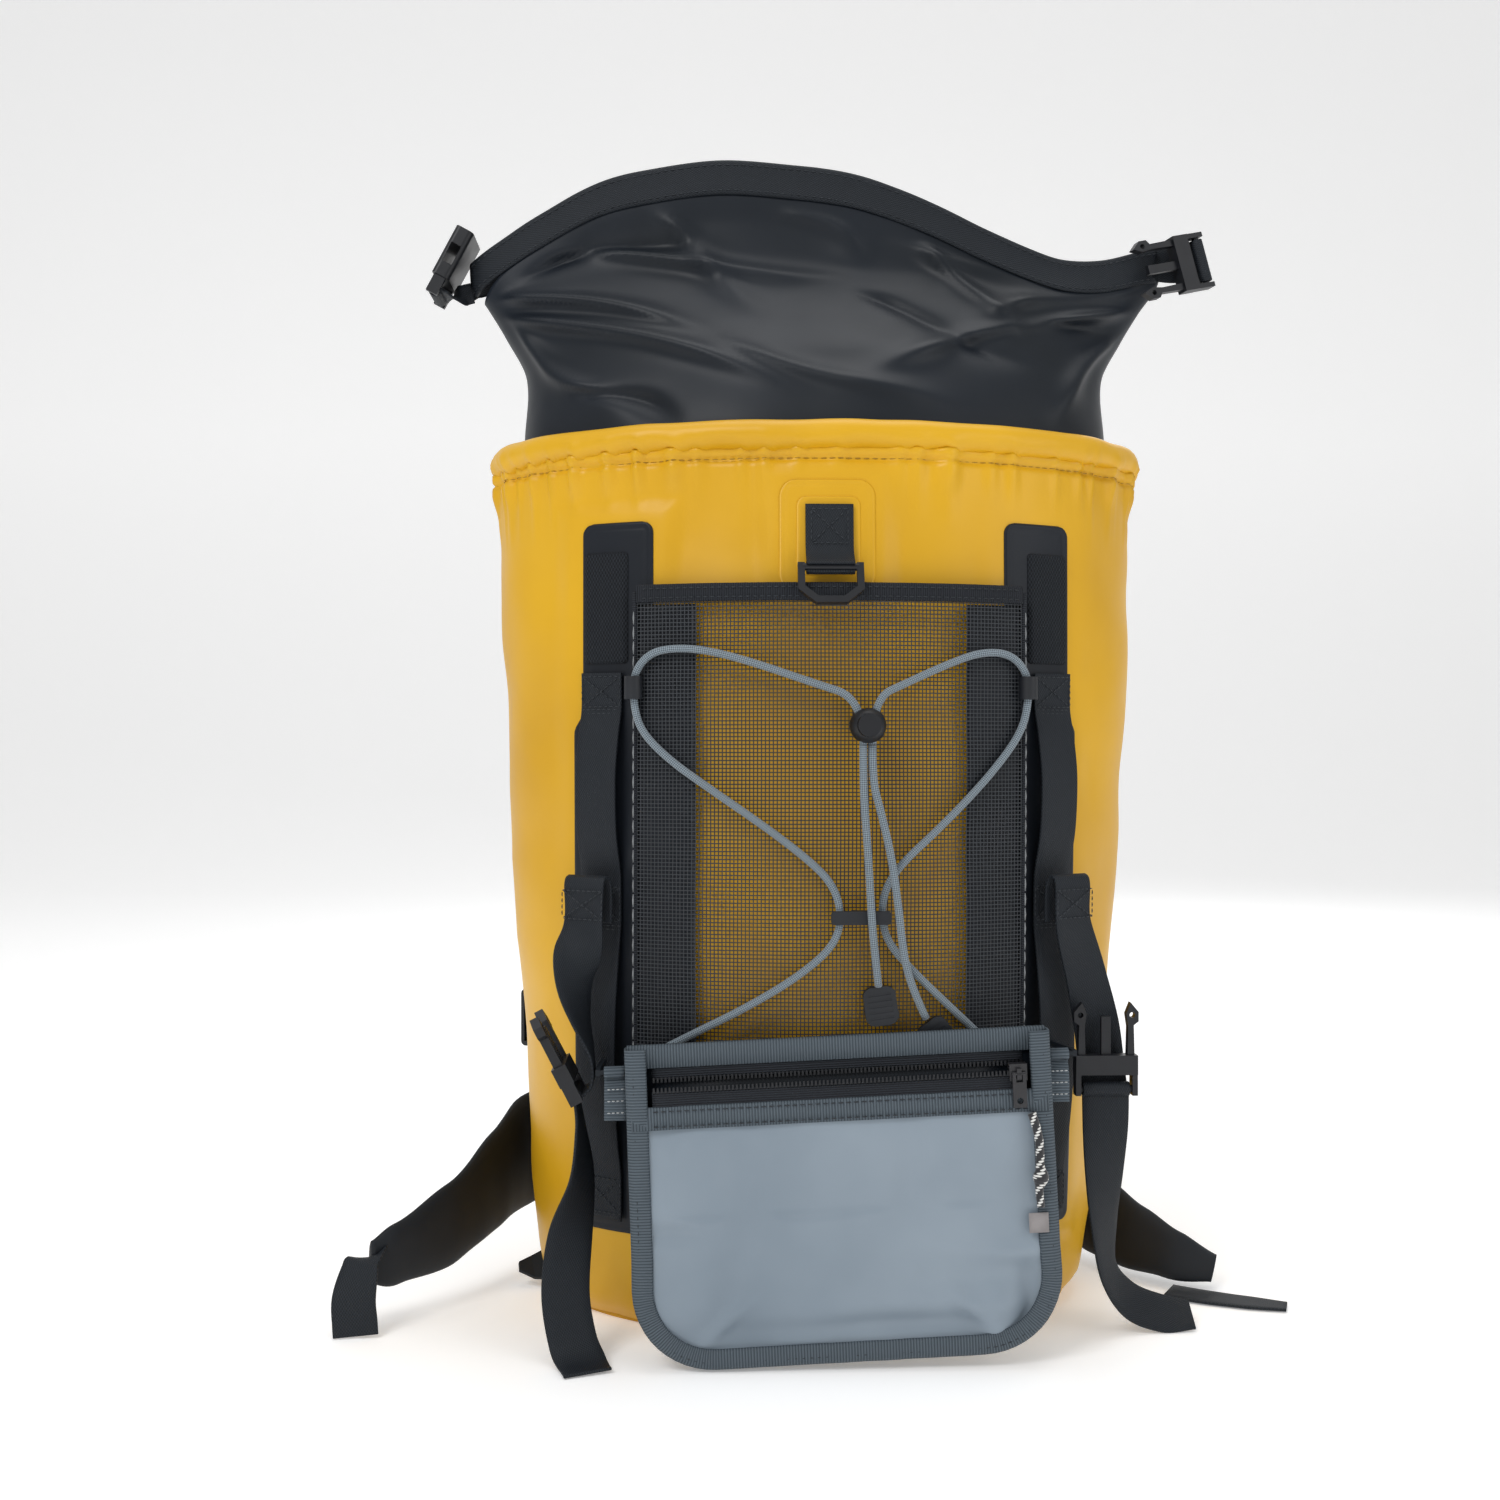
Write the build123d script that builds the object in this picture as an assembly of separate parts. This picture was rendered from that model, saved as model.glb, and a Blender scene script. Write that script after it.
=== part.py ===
"""Roll-top dry backpack: a welded tarpaulin sack with a roll-top collar, a mesh front pocket laced
with bungee cord, a hung zip pouch, side straps with buckles, shoulder straps and a hip belt.

Frame: millimetres, +Z up, the front of the sack faces -Y, and the origin is at the centre of the
underside of the base.
"""

from build123d import *
from math import atan2, cos, degrees, pi, radians, sin, sqrt, tan
import os

# ---------------------------------------------------------------- driving dimensions
BASE_THICK = 3.0
SHELL_WALL = 1.4
LAYER_GAP = 0.1  # air left between sheets that are welded or sewn together
PATCH = 1.2  # welded patch thickness
WEBBING = 1.5  # webbing thickness
WEB_WIDTH = 25.0

RIM_Z = 479.8  # centre height of the rolled rim
RIM_R = 9.4
RIM_CORD_R = 3.0
RIM_HOLE = 3.2  # hole that the rolled cloth leaves round the cord
RIM_A, RIM_B = 182.0, 115.0  # half width and half depth of the rim's centre line

HEM_HEIGHT = 20.0
HEM_THICK = 2.4

MESH_OFFSET, MESH_THICK = 8.4, 0.8
PIPING_OUT = 9.8
CORD_R = 2.0
CORD_OFFSET = 12.0  # cord centre above the sack's wall

STRIP_X = 119.0  # middle of each lash strip
LASH_BULGE = 9.5
DRING_X, DRING_Y, DRING_Z = -1.5, -131.6, 409.0
DRING_LEAN = 20.0  # degrees, the ring rests against the top of the mesh
SEWN_OFFSET = 3.4
SIDE_BAR_Z = 136.0

RING_IN, RING_OUT, BAR_R = 2.4, 3.9, 2.0

POUCH_TILT = 2.5  # degrees, the pouch hangs a little crooked
POUCH_Y = -134.0
POUCH_TOP, POUCH_BOTTOM = 168.5, 5.5
POUCH_HALF_TOP, POUCH_HALF_BOTTOM = 107.0, 108.5
POUCH_CORNER = 40.0
POUCH_DEPTH = 9.0
POUCH_MID_X = 1.0
HANG_Y, HANG_Z, HANG_SLOPE = -130.0, 154.0, 0.035  # line that the pouch hangs and swings on
ZIP_Z = 147.0
SHEET = 1.0

# (height, half width, half depth) of the sack's wall
SACK = [
    (3.0, 150, 95),
    (14.0, 158, 103),
    (46.0, 163, 108),
    (105.0, 169, 114),
    (223.0, 175, 120),
    (342.0, 183, 122),
    (470.2, 186, 119),
]
# the same for the collar, which starts wide at the rim and closes to a flat mouth
COLLAR = [
    (452.0, 182, 114.0),
    (468.0, 171, 104.0),
    (495.0, 171, 103.0),
    (532.0, 170, 84.0),
    (556.0, 182, 62.0),
    (574.0, 193, 46.0),
    (592.0, 205, 33.0),
    (622.0, 208, 28.0),
    (668.0, 208, 27.0),
]
# top edge of the mouth, seen from the front: (x, z)
MOUTH_TOP = [
    (-212, 592), (-184, 610), (-161, 624), (-126, 642), (-91, 650), (-56, 654), (-21, 652),
    (14, 648), (37, 642), (66, 631), (96, 617), (125, 605), (143, 600), (166, 601), (190, 608), (212, 614),
]

parts = {}


# ---------------------------------------------------------------- helpers
def interpolate(levels, z):
    """Half width and half depth of a lofted wall at one height."""
    for low, high in zip(levels, levels[1:]):
        if z <= high[0]:
            share = max(0.0, (z - low[0]) / (high[0] - low[0]))
            return tuple(low[i] + share * (high[i] - low[i]) for i in (1, 2))
    return levels[-1][1:]


def front(x, z, offset=0.0):
    """Point on the front of the sack at x and z, moved out from the wall by offset."""
    a, b = interpolate(SACK, z)
    y = -b * sqrt(max(0.0, 1 - (x / a) ** 2))
    out = Vector(x / a**2, y / b**2, 0).normalized()
    return Vector(x, y, z) + out * offset


def across(x, z):
    """Unit vector along the wall, level, pointing to +X, at a place on the front."""
    a, b = interpolate(SACK, z)
    y = -b * sqrt(max(0.0, 1 - (x / a) ** 2))
    return Vector(-y / b**2, x / a**2, 0).normalized()


cache = {}


def lofted(levels, offset=0.0):
    """Solid inside a wall, grown by offset."""
    key = (id(levels), offset)
    if key not in cache:
        rings = [Plane.XY.offset(z) * Ellipse(a + offset, b + offset) for z, a, b in levels]
        cache[key] = loft(rings, ruled=True)
    return cache[key]


def prism(outline, near=-260.0, far=0.0):
    """Outline drawn as (x, z) in the front view, extruded from y = near to y = far."""
    face = Plane(origin=(0, far, 0), x_dir=(1, 0, 0), z_dir=(0, -1, 0)) * outline
    return extrude(face, amount=far - near)


def panel(x0, x1, z0, z1, radius=0.0):
    """Rectangle in the front view with rounded corners."""
    rectangle = Rectangle(x1 - x0, z1 - z0)
    if radius:
        rectangle = fillet(rectangle.vertices(), radius)
    return Pos((x0 + x1) / 2, (z0 + z1) / 2) * rectangle


def sheet(outline, inner, outer, levels=SACK, rear=False):
    """A sheet that follows the wall, between two offsets, cut to an outline in the front view."""
    near, far = (0.0, 260.0) if rear else (-260.0, 0.0)
    return (lofted(levels, outer) - lofted(levels, inner)) & prism(outline, near, far)


def ribbon(stations):
    """Strap through stations (centre, width direction, width, thickness), as a closed shell of flat facets."""
    centres = [Vector(*s[0]) for s in stations]
    rings = []
    for i, (_, wide, width, thick) in enumerate(stations):
        along = (centres[min(i + 1, len(centres) - 1)] - centres[max(i - 1, 0)]).normalized()
        level = Vector(*wide)
        level = (level - along * level.dot(along)).normalized() * (width / 2)
        up = along.cross(level).normalized() * (thick / 2)
        rings.append([centres[i] + level + up, centres[i] - level + up, centres[i] - level - up, centres[i] + level - up])
    faces = [make_face(Polyline(*ring, close=True)).face() for ring in (rings[0], rings[-1])]
    for here, ahead in zip(rings, rings[1:]):
        # opposite sides are split along parallel diagonals, so a twisted strap keeps its thickness
        for k in range(4):
            n = (k + 1) % 4
            first, last = (ahead[n], here[k]) if k < 2 else (ahead[k], here[n])
            faces.append(make_face(Polyline(here[k], here[n], first, close=True)).face())
            faces.append(make_face(Polyline(last, ahead[n], ahead[k], close=True)).face())
    return Solid(Shell(faces))


def mirrored(stations):
    """The same stations on the other side of the sack."""
    return [((-c[0], c[1], c[2]), (-w[0], w[1], w[2]), wd, th) for c, w, wd, th in stations]


def web_ring(length=WEB_WIDTH):
    """Webbing wrapped round a buckle's bar: a tube along local X."""
    ring = Cylinder(RING_OUT, length, rotation=(0, 90, 0))
    return ring - Cylinder(RING_IN, length + 1, rotation=(0, 90, 0))


def buckle_frame():
    """Bar between two ears, with the bar along local X at the origin. The buckle lies along +Y."""
    ears = [Pos(side * 15.1, 2.6, 0) * Box(2.8, 11.6, 7) for side in (-1, 1)]
    return Cylinder(BAR_R, 28, rotation=(0, 90, 0)) + ears[0] + ears[1]


def male_buckle():
    """Prong half of a side-release buckle for 25 mm webbing."""
    block = Pos(0, 13, 0) * Box(33, 10.4, 8)
    block = block + buckle_frame() + Pos(0, 28, 0) * Box(5, 21, 3)
    for side in (-1, 1):
        outline = [(11.2, 17), (15, 17), (14.6, 34), (17.2, 36), (17.2, 41), (13, 46), (10.6, 40), (11.6, 33)]
        arm = extrude(make_face(Polyline(*[(side * x, y) for x, y in outline], close=True)), 2.4, both=True)
        eye = Pos(side * 13.8, 39.4, 0) * Cylinder(1.5, 8)
        block = block + arm - eye
    return block


def female_buckle():
    """Socket half of the same buckle, open at its far end and in both sides."""
    block = Pos(0, 23, 0) * Box(35, 30.4, 11)
    block = fillet(block.edges().filter_by(Axis.Y), 3)
    block = block - Pos(0, 26, 0) * Box(29.5, 26, 6.6)
    block = block - Pos(0, 22, 0) * Box(40, 12, 6.2)
    return block + buckle_frame()


def placed(solid, origin, bar, out):
    """Moves a buckle so that its bar is along bar and its body points along out."""
    bar, out = Vector(*bar).normalized(), Vector(*out)
    out = (out - bar * out.dot(bar)).normalized()
    return Plane(origin=origin, x_dir=bar, z_dir=bar.cross(out)) * solid


def rope(points, radius):
    """Round cord along straight runs joined by the largest tangent arcs, and its bend radii."""
    points = [Vector(*p) for p in points]
    radii = []
    for before, here, after in zip(points, points[1:], points[2:]):
        turn = radians((here - before).get_angle(after - here))
        shorter = min((here - before).length, (after - here).length)
        radii.append(0.45 * shorter / tan(turn / 2))
    path = FilletPolyline(*points, radius=radii)
    start = Plane(origin=points[0], z_dir=points[1] - points[0])
    tube = sweep(start * Circle(radius), path=path)
    share = tube.volume / (pi * radius**2 * path.length)
    print("  cord length", round(path.length, 1), "least bend", round(min(radii), 1), "volume share", round(share, 3))
    return tube


# ---------------------------------------------------------------- sack
def make_sack():
    cavity = lofted(SACK, -SHELL_WALL) & Pos(0, 0, BASE_THICK + SHELL_WALL + 250) * Box(500, 500, 500)
    parts["main_shell"] = lofted(SACK) - cavity
    parts["base_panel"] = extrude(Ellipse(SACK[0][1] - 4, SACK[0][2] - 4), BASE_THICK - LAYER_GAP)
    path = Plane.XY.offset(RIM_Z) * Ellipse(RIM_A, RIM_B).edge()
    start = Plane(origin=(RIM_A, 0, RIM_Z), z_dir=(0, 1, 0))
    parts["rim_hem"] = sweep(start * (Circle(RIM_R) - Circle(RIM_HOLE)), path=path)
    parts["rim_cord"] = sweep(start * Circle(RIM_CORD_R), path=path)


def make_collar():
    top = Spline(*MOUTH_TOP)
    right, left = MOUTH_TOP[-1], MOUTH_TOP[0]
    floor = COLLAR[0][0] - 10
    area = make_face(top + Polyline(right, (right[0], floor), (left[0], floor), left))
    above = prism(area, -200, 200)
    below = Pos(0, 0, -HEM_HEIGHT) * above
    wall = lofted(COLLAR) - lofted(COLLAR, -1.2)
    parts["collar"] = wall & below
    band = (lofted(COLLAR, 0.6) - lofted(COLLAR, 0.6 - HEM_THICK)) & above
    band = band - Pos(0, 0, LAYER_GAP) * below
    parts["front_hem_band"] = band & Pos(0, -60.1, 600) * Box(404, 120, 300)
    parts["rear_hem_band"] = band & Pos(0, 60.1, 600) * Box(404, 120, 300)


# ---------------------------------------------------------------- lash strips, mesh pocket, D-ring
def lash_stations(side):
    """Daisy-chain webbing down one lash strip: sewn flat, then loose loops, then sewn again."""
    levels = [
        (356, SEWN_OFFSET), (337, SEWN_OFFSET), (322, 6.6), (300, LASH_BULGE), (272, 8.4), (252, 4.2),
        (243, SEWN_OFFSET), (222, SEWN_OFFSET), (205, 5.6), (175, 8.8), (140, LASH_BULGE), (105, 6.4),
        (86, SEWN_OFFSET), (62, SEWN_OFFSET),
    ]
    stations = []
    for z, offset in levels:
        stations.append((front(side * STRIP_X, z, offset), across(side * STRIP_X, z), WEB_WIDTH, WEBBING))
    return stations


def make_front():
    patches, grips, webs = [], [], []
    for side in (-1, 1):
        top = panel(*sorted((side * 93, side * 131)), 300, 436, 6)
        foot = panel(*sorted((side * 99, side * 136)), 54, 330, 6)
        patches.append(sheet(top + foot, LAYER_GAP, PATCH))
        grip = panel(*sorted((side * 106, side * 129)), 361, 420, 2)
        grips.append(sheet(grip, PATCH + LAYER_GAP, PATCH + 2.0))
        webs.append(ribbon(lash_stations(side)))
    parts["lash_patches"] = patches[0] + patches[1]
    parts["grip_patches"] = grips[0] + grips[1]
    parts["lash_webbing"] = webs[0] + webs[1]
    frame = panel(-100.6, 100.6, 58, 398) - panel(-98.2, 98.2, 65.8, 410)
    parts["pocket_frame"] = sheet(frame, PATCH + LAYER_GAP, PIPING_OUT)
    parts["mesh_panel"] = sheet(panel(-98, 98, 66, 392), MESH_OFFSET, MESH_OFFSET + MESH_THICK)
    parts["mesh_top_binding"] = sheet(panel(-98, 98, 392.2, 401.5), MESH_OFFSET - 0.6, MESH_OFFSET + 1.6)
    parts["dring_patch"] = sheet(panel(-27.5, 23, 398, 456, 9), LAYER_GAP, 1.1) + sheet(
        panel(-18.5, 15, 406, 447, 5), 1.0, 2.0
    )


def make_dring():
    here = Pos(DRING_X, DRING_Y, DRING_Z)
    wide = (1, 0, 0)
    web = ribbon([
        strap(DRING_X, -123.2, 442.5, wide),
        strap(DRING_X, -124.6, 424, wide),
        strap(DRING_X, DRING_Y + 3.2, DRING_Z + 1.6, wide),
    ])
    parts["dring_webbing"] = (web + here * web_ring()) - here * Cylinder(RING_IN, 60, rotation=(0, 90, 0))
    outer = [(-17, 2), (-17, -13), (-8, -20.5), (8, -20.5), (17, -13), (17, 2)]
    inner = [(-13.4, -1.9), (-13.4, -11.4), (-6.6, -16.9), (6.6, -16.9), (13.4, -11.4), (13.4, -1.9)]
    frame = make_face(Polyline(*outer, close=True)) - make_face(Polyline(*inner, close=True))
    frame = frame - Pos(0, 1) * Rectangle(26.8, 12)
    plate = prism(frame, -1.7, 1.7)
    bar = Cylinder(BAR_R, 29, rotation=(0, 90, 0))
    parts["d_ring"] = here * Rot(-DRING_LEAN, 0, 0) * (plate + bar)


# ---------------------------------------------------------------- bungee cord
LOCK_X, LOCK_Z, LOCK_Y = 16.7, 327.5, -140.8
LOCK_R = 9.4
CORD_PITCH = 2.35  # each cord runs this far to one side of the lock's middle
KEEPER_LEFT, KEEPER_RIGHT = -98.6, 99.6
# half of the lacing, from the cord lock to the foot of the pocket: (x, z) on the front
LACING_LEFT = [
    (-12, 350), (-38, 359.5), (-60, 366), (-76, 368), (-90, 366),
    (KEEPER_LEFT + 0.2, 355.5), (KEEPER_LEFT, 340), (-95, 325), (-81, 310), (-60, 294.5), (-37, 278),
    (-15, 261), (0, 246), (4.2, 229), (0, 214), (-18, 198), (-42, 182.5), (-68, 168), (-90, 155),
    (KEEPER_LEFT, 140), (KEEPER_LEFT + 0.1, 124), (-90, 110), (-66, 101), (-30, 98), (5, 97.5),
]
LACING_RIGHT = [
    (37, 350), (56, 359), (74, 366), (90, 365.5),
    (KEEPER_RIGHT - 0.2, 355), (KEEPER_RIGHT, 340), (96, 325), (84, 308), (68, 290), (50, 272),
    (33, 256), (25, 243), (23.6, 229), (27, 215), (42, 198), (60, 180), (77, 163), (92, 148),
    (KEEPER_RIGHT, 132), (KEEPER_RIGHT - 0.1, 118), (91, 106), (68, 99.5), (38, 98),
]
LACING_SPREAD = [(14.35, LOCK_Y, 341), (19.05, LOCK_Y, 341)]  # where each half enters the cord lock
TAIL_LEFT = [
    (14.35, LOCK_Y, 317.8), (14.35, LOCK_Y, 299), (15.2, -140.2, 284), (17.2, -139.6, 258),
    (18.8, -139.6, 228), (20.8, -136.6, 210), (23.2, -130.8, 193.6),
]
TAIL_RIGHT = [
    (19.05, LOCK_Y, 317.8), (19.05, LOCK_Y, 299), (23, -140.2, 285), (28.6, -139.8, 262),
    (32.4, -139.4, 236), (35, -137.4, 212), (40, -133, 193), (48.2, -127.4, 176.4),
]


def lacing_points():
    """The whole lacing, from the lock round the left side, the foot and the right side, to the lock."""
    left = [front(x, z, CORD_OFFSET) for x, z in LACING_LEFT]
    right = [front(x, z, CORD_OFFSET) for x, z in reversed(LACING_RIGHT)]
    start = [Vector(LOCK_X - CORD_PITCH, LOCK_Y, 318), Vector(*LACING_SPREAD[0])]
    end = [Vector(*LACING_SPREAD[1]), Vector(LOCK_X + CORD_PITCH, LOCK_Y, 318)]
    return start + left + right + end


def cord_keeper(x, z):
    """Rubber loop that holds the cord against the edge of the lash strip."""
    middle = front(x, z, CORD_OFFSET)
    return Plane(origin=middle, x_dir=across(x, z), z_dir=(0, 0, 1)) * (
        Cylinder(CORD_R + 2.8, 12) - Cylinder(CORD_R + 1.3, 13)
    )


def pull_tab(middle, lean):
    """Ridged moulded tab on the end of the cord."""
    tab = fillet(Box(17, 4.2, 20).edges().filter_by(Axis.Y), 5)
    for step in range(-2, 3):
        tab = tab - Pos(0, -2.3, step * 3) * Box(12, 1.0, 1.2)
    return Pos(*middle) * Rot(0, lean, 0) * tab


def make_bungee():
    parts["bungee_lacing"] = rope(lacing_points(), CORD_R)
    parts["bungee_tail_left"] = rope(TAIL_LEFT, CORD_R)
    parts["bungee_tail_right"] = rope(TAIL_RIGHT, CORD_R)
    parts["pull_tab_left"] = pull_tab((24.4, -129.4, 183.2), -8)
    parts["pull_tab_right"] = pull_tab((55.0, -125.4, 166.0), -38)
    keepers = [
        cord_keeper(KEEPER_LEFT, 347.5), cord_keeper(KEEPER_RIGHT, 347.5),
        cord_keeper(KEEPER_LEFT, 132), cord_keeper(KEEPER_RIGHT, 125),
    ]
    bar = Pos(13.9, -135.6, 229) * fillet(Box(31, 1.8, 7).edges().filter_by(Axis.Y), 2)
    foot = Pos(13.9, -132.3, 229) * Box(9.6, 5.4, 7)
    clear = lofted(SACK, PIPING_OUT + 0.3)
    parts["cord_keepers"] = bar + foot + [keeper - clear for keeper in keepers]


def make_cord_lock():
    """Ball with a cross plunger. Both have a slot for the two cords, and the plunger's is taller."""
    slot = Box(2 * CORD_PITCH + 2 * CORD_R + 0.8, 2 * CORD_R + 0.8, 30) + Pos(0, 0, 9) * Box(13.6, 6, 9)
    ball = Sphere(LOCK_R) - Pos(0, -4, 0) * Cylinder(6.1, 21, rotation=(90, 0, 0)) - slot
    parts["cord_lock_ball"] = Pos(LOCK_X, LOCK_Y, LOCK_Z) * ball
    plunger = Pos(0, -3.6, 0) * Cylinder(5.9, 13.4, rotation=(90, 0, 0))
    plunger = plunger - Pos(0, -1.2, 0) * Box(2 * CORD_PITCH + 2 * CORD_R + 0.8, 2 * CORD_R + 3.4, 30)
    parts["cord_lock_plunger"] = Pos(LOCK_X, LOCK_Y, LOCK_Z) * plunger
    spring = Cylinder(4.6, 0.7, rotation=(90, 0, 0)) - Cylinder(3.6, 4, rotation=(90, 0, 0))
    parts["cord_lock_spring"] = Pos(LOCK_X, LOCK_Y + 5.95, LOCK_Z) * spring


# ---------------------------------------------------------------- zip pouch, drawn upright and then tilted
def tilt(solid):
    return Pos(POUCH_MID_X, 0, POUCH_TOP) * Rot(0, -POUCH_TILT, 0) * Pos(0, 0, -POUCH_TOP) * solid


def pouch_outline(inset=0.0, top=POUCH_TOP):
    """Front view of the pouch: straight sides and a foot with large round corners."""
    half_top, half_foot = POUCH_HALF_TOP - inset, POUCH_HALF_BOTTOM - inset
    foot = POUCH_BOTTOM + inset
    corners = [(-half_top, top), (-half_foot, foot), (half_foot, foot), (half_top, top)]
    face = make_face(Polyline(*corners, close=True))
    return fillet(face.vertices().sort_by(Axis.Y)[:2], POUCH_CORNER - inset)


def make_pouch():
    back, front_y = POUCH_Y, POUCH_Y - POUCH_DEPTH
    band = 8.0  # width of the sewn edge
    parts["pouch_back"] = tilt(prism(pouch_outline(1), back - SHEET, back))
    lower = panel(-200, 200, -50, ZIP_Z - 9)
    front_sheet = prism(pouch_outline(1) & lower, front_y, back - SHEET - LAYER_GAP)
    hollow = prism(pouch_outline(band + 1) & panel(-200, 200, -50, ZIP_Z), front_y + SHEET, back)
    parts["pouch_front"] = tilt(front_sheet - hollow)
    edge = pouch_outline(-0.5) - pouch_outline(1 - LAYER_GAP)
    parts["pouch_binding"] = tilt(prism(edge, front_y - 0.4, back + 0.4))
    tape_y = front_y + 0.2
    half = POUCH_HALF_TOP - 12
    lower_tape = prism(panel(-half, half, ZIP_Z - 8.8, ZIP_Z - 0.6), tape_y, tape_y + 0.8)
    lower_teeth = prism(panel(-half, half, ZIP_Z - 1, ZIP_Z + 1), tape_y - 0.6, tape_y + 1.4)
    parts["zip_lower"] = tilt(lower_tape + lower_teeth)
    upper_y = back - SHEET - LAYER_GAP
    upper_tape = prism(panel(-half, half, ZIP_Z + 4.6, ZIP_Z + 13), upper_y - 0.8, upper_y)
    upper_teeth = prism(panel(-half, half, ZIP_Z + 3.2, ZIP_Z + 5.2), upper_y - 2, upper_y)
    parts["zip_upper"] = tilt(upper_tape + upper_teeth)
    slide_x = half - 4
    mid_y = tape_y + 0.4
    slider = Pos(slide_x, mid_y, ZIP_Z + 0.5) * (
        Box(9, 5.6, 8.5) - Pos(0, 0, -1.6) * Box(12, 2.8, 7.5) + Pos(0, -3.6, -0.5) * Box(2.4, 3.2, 5.4)
    )
    eye = Pos(slide_x, mid_y - 4.2, ZIP_Z) * Cylinder(1.1, 6, rotation=(0, 90, 0))
    parts["zip_slider"] = tilt(slider - eye)
    puller = Pos(0, 0, -8.6) * Box(7, 1.6, 17) - Pos(0, 0, -1) * Box(3.4, 3, 6.4) + Cylinder(0.9, 7, rotation=(0, 90, 0))
    puller = puller - Pos(0, 0, -13.6) * Cylinder(1.6, 6, rotation=(90, 0, 0))
    parts["zip_puller"] = tilt(Pos(slide_x, mid_y - 4.2, ZIP_Z) * puller)


ZIP_CORD = [(99.2, -147.6, 131.2), (101.6, -148.6, 124), (103.4, -148.2, 114), (103.2, -148.4, 103.8)]


def make_zip_pull():
    parts["zip_pull_cord"] = rope(ZIP_CORD, 2.2)
    parts["zip_pull_knot"] = Pos(103.3, -148.4, 99.0) * Sphere(4.2)
    tail = Pos(103.6, -148.4, 88.9) * Cylinder(1.9, 12)
    parts["zip_pull_knot"] = parts["zip_pull_knot"] + tail


def make_pouch_hooks():
    """Hooks that stand out from the lash webbing, and the webbing loops that hang the pouch on them."""
    hang = Plane(origin=(0.5, HANG_Y, HANG_Z), x_dir=(1, 0, HANG_SLOPE), z_dir=(-HANG_SLOPE, 0, 1))
    loops, hooks = [], []
    for side, x in ((-1, -113.0), (1, 116.0)):
        turn = dict(rotation=(0, 90, 0))
        ring = Pos(x, 0, 0) * (Cylinder(3.1, 10, **turn) - Cylinder(1.8, 11, **turn))
        flap = Pos(x - side * 0.6, -2.45, -12) * Box(11.2, 1.3, 24)
        stub = Pos(x, 0, 0) * Cylinder(1.8, 30, **turn)
        loops.append(hang * (ring + flap - stub))
        pin = hang * (Pos(x + side * 1, 0, 0) * Cylinder(1.3, 14, **turn))
        root = hang.from_local_coords(Vector(x + side * 8.4, 0, 0))
        tip = front(side * (STRIP_X - 6), root.Z, LASH_BULGE + 2.6)
        arm = ribbon([
            ((root.X, root.Y - 1.2, root.Z), (0, 0, 1), 3, 2.4),
            ((root.X, root.Y + 10, root.Z), (0, 0, 1), 3, 2.4),
            ((tip.X, tip.Y, root.Z), (0, 0, 1), 3, 2.4),
        ])
        hooks.append(pin + arm)
    parts["pouch_loops"] = loops[0] + loops[1]
    parts["pouch_hooks"] = hooks[0] + hooks[1]


# ---------------------------------------------------------------- side straps
def strap(x, y, z, wide, width=WEB_WIDTH, thick=WEBBING):
    return ((x, y, z), wide, width, thick)


def fold_over(side, x):
    """Webbing sewn on the lash strip and folded outwards, ending as it hangs down."""
    stations = []
    for z, offset in ((224, 12.2), (240, 12.2), (246.6, 14.0), (248.0, 17.0), (243.5, 19.8), (222, 20.6)):
        stations.append((front(side * x, z, offset), across(side * x, z), WEB_WIDTH, WEBBING))
    return stations


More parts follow.
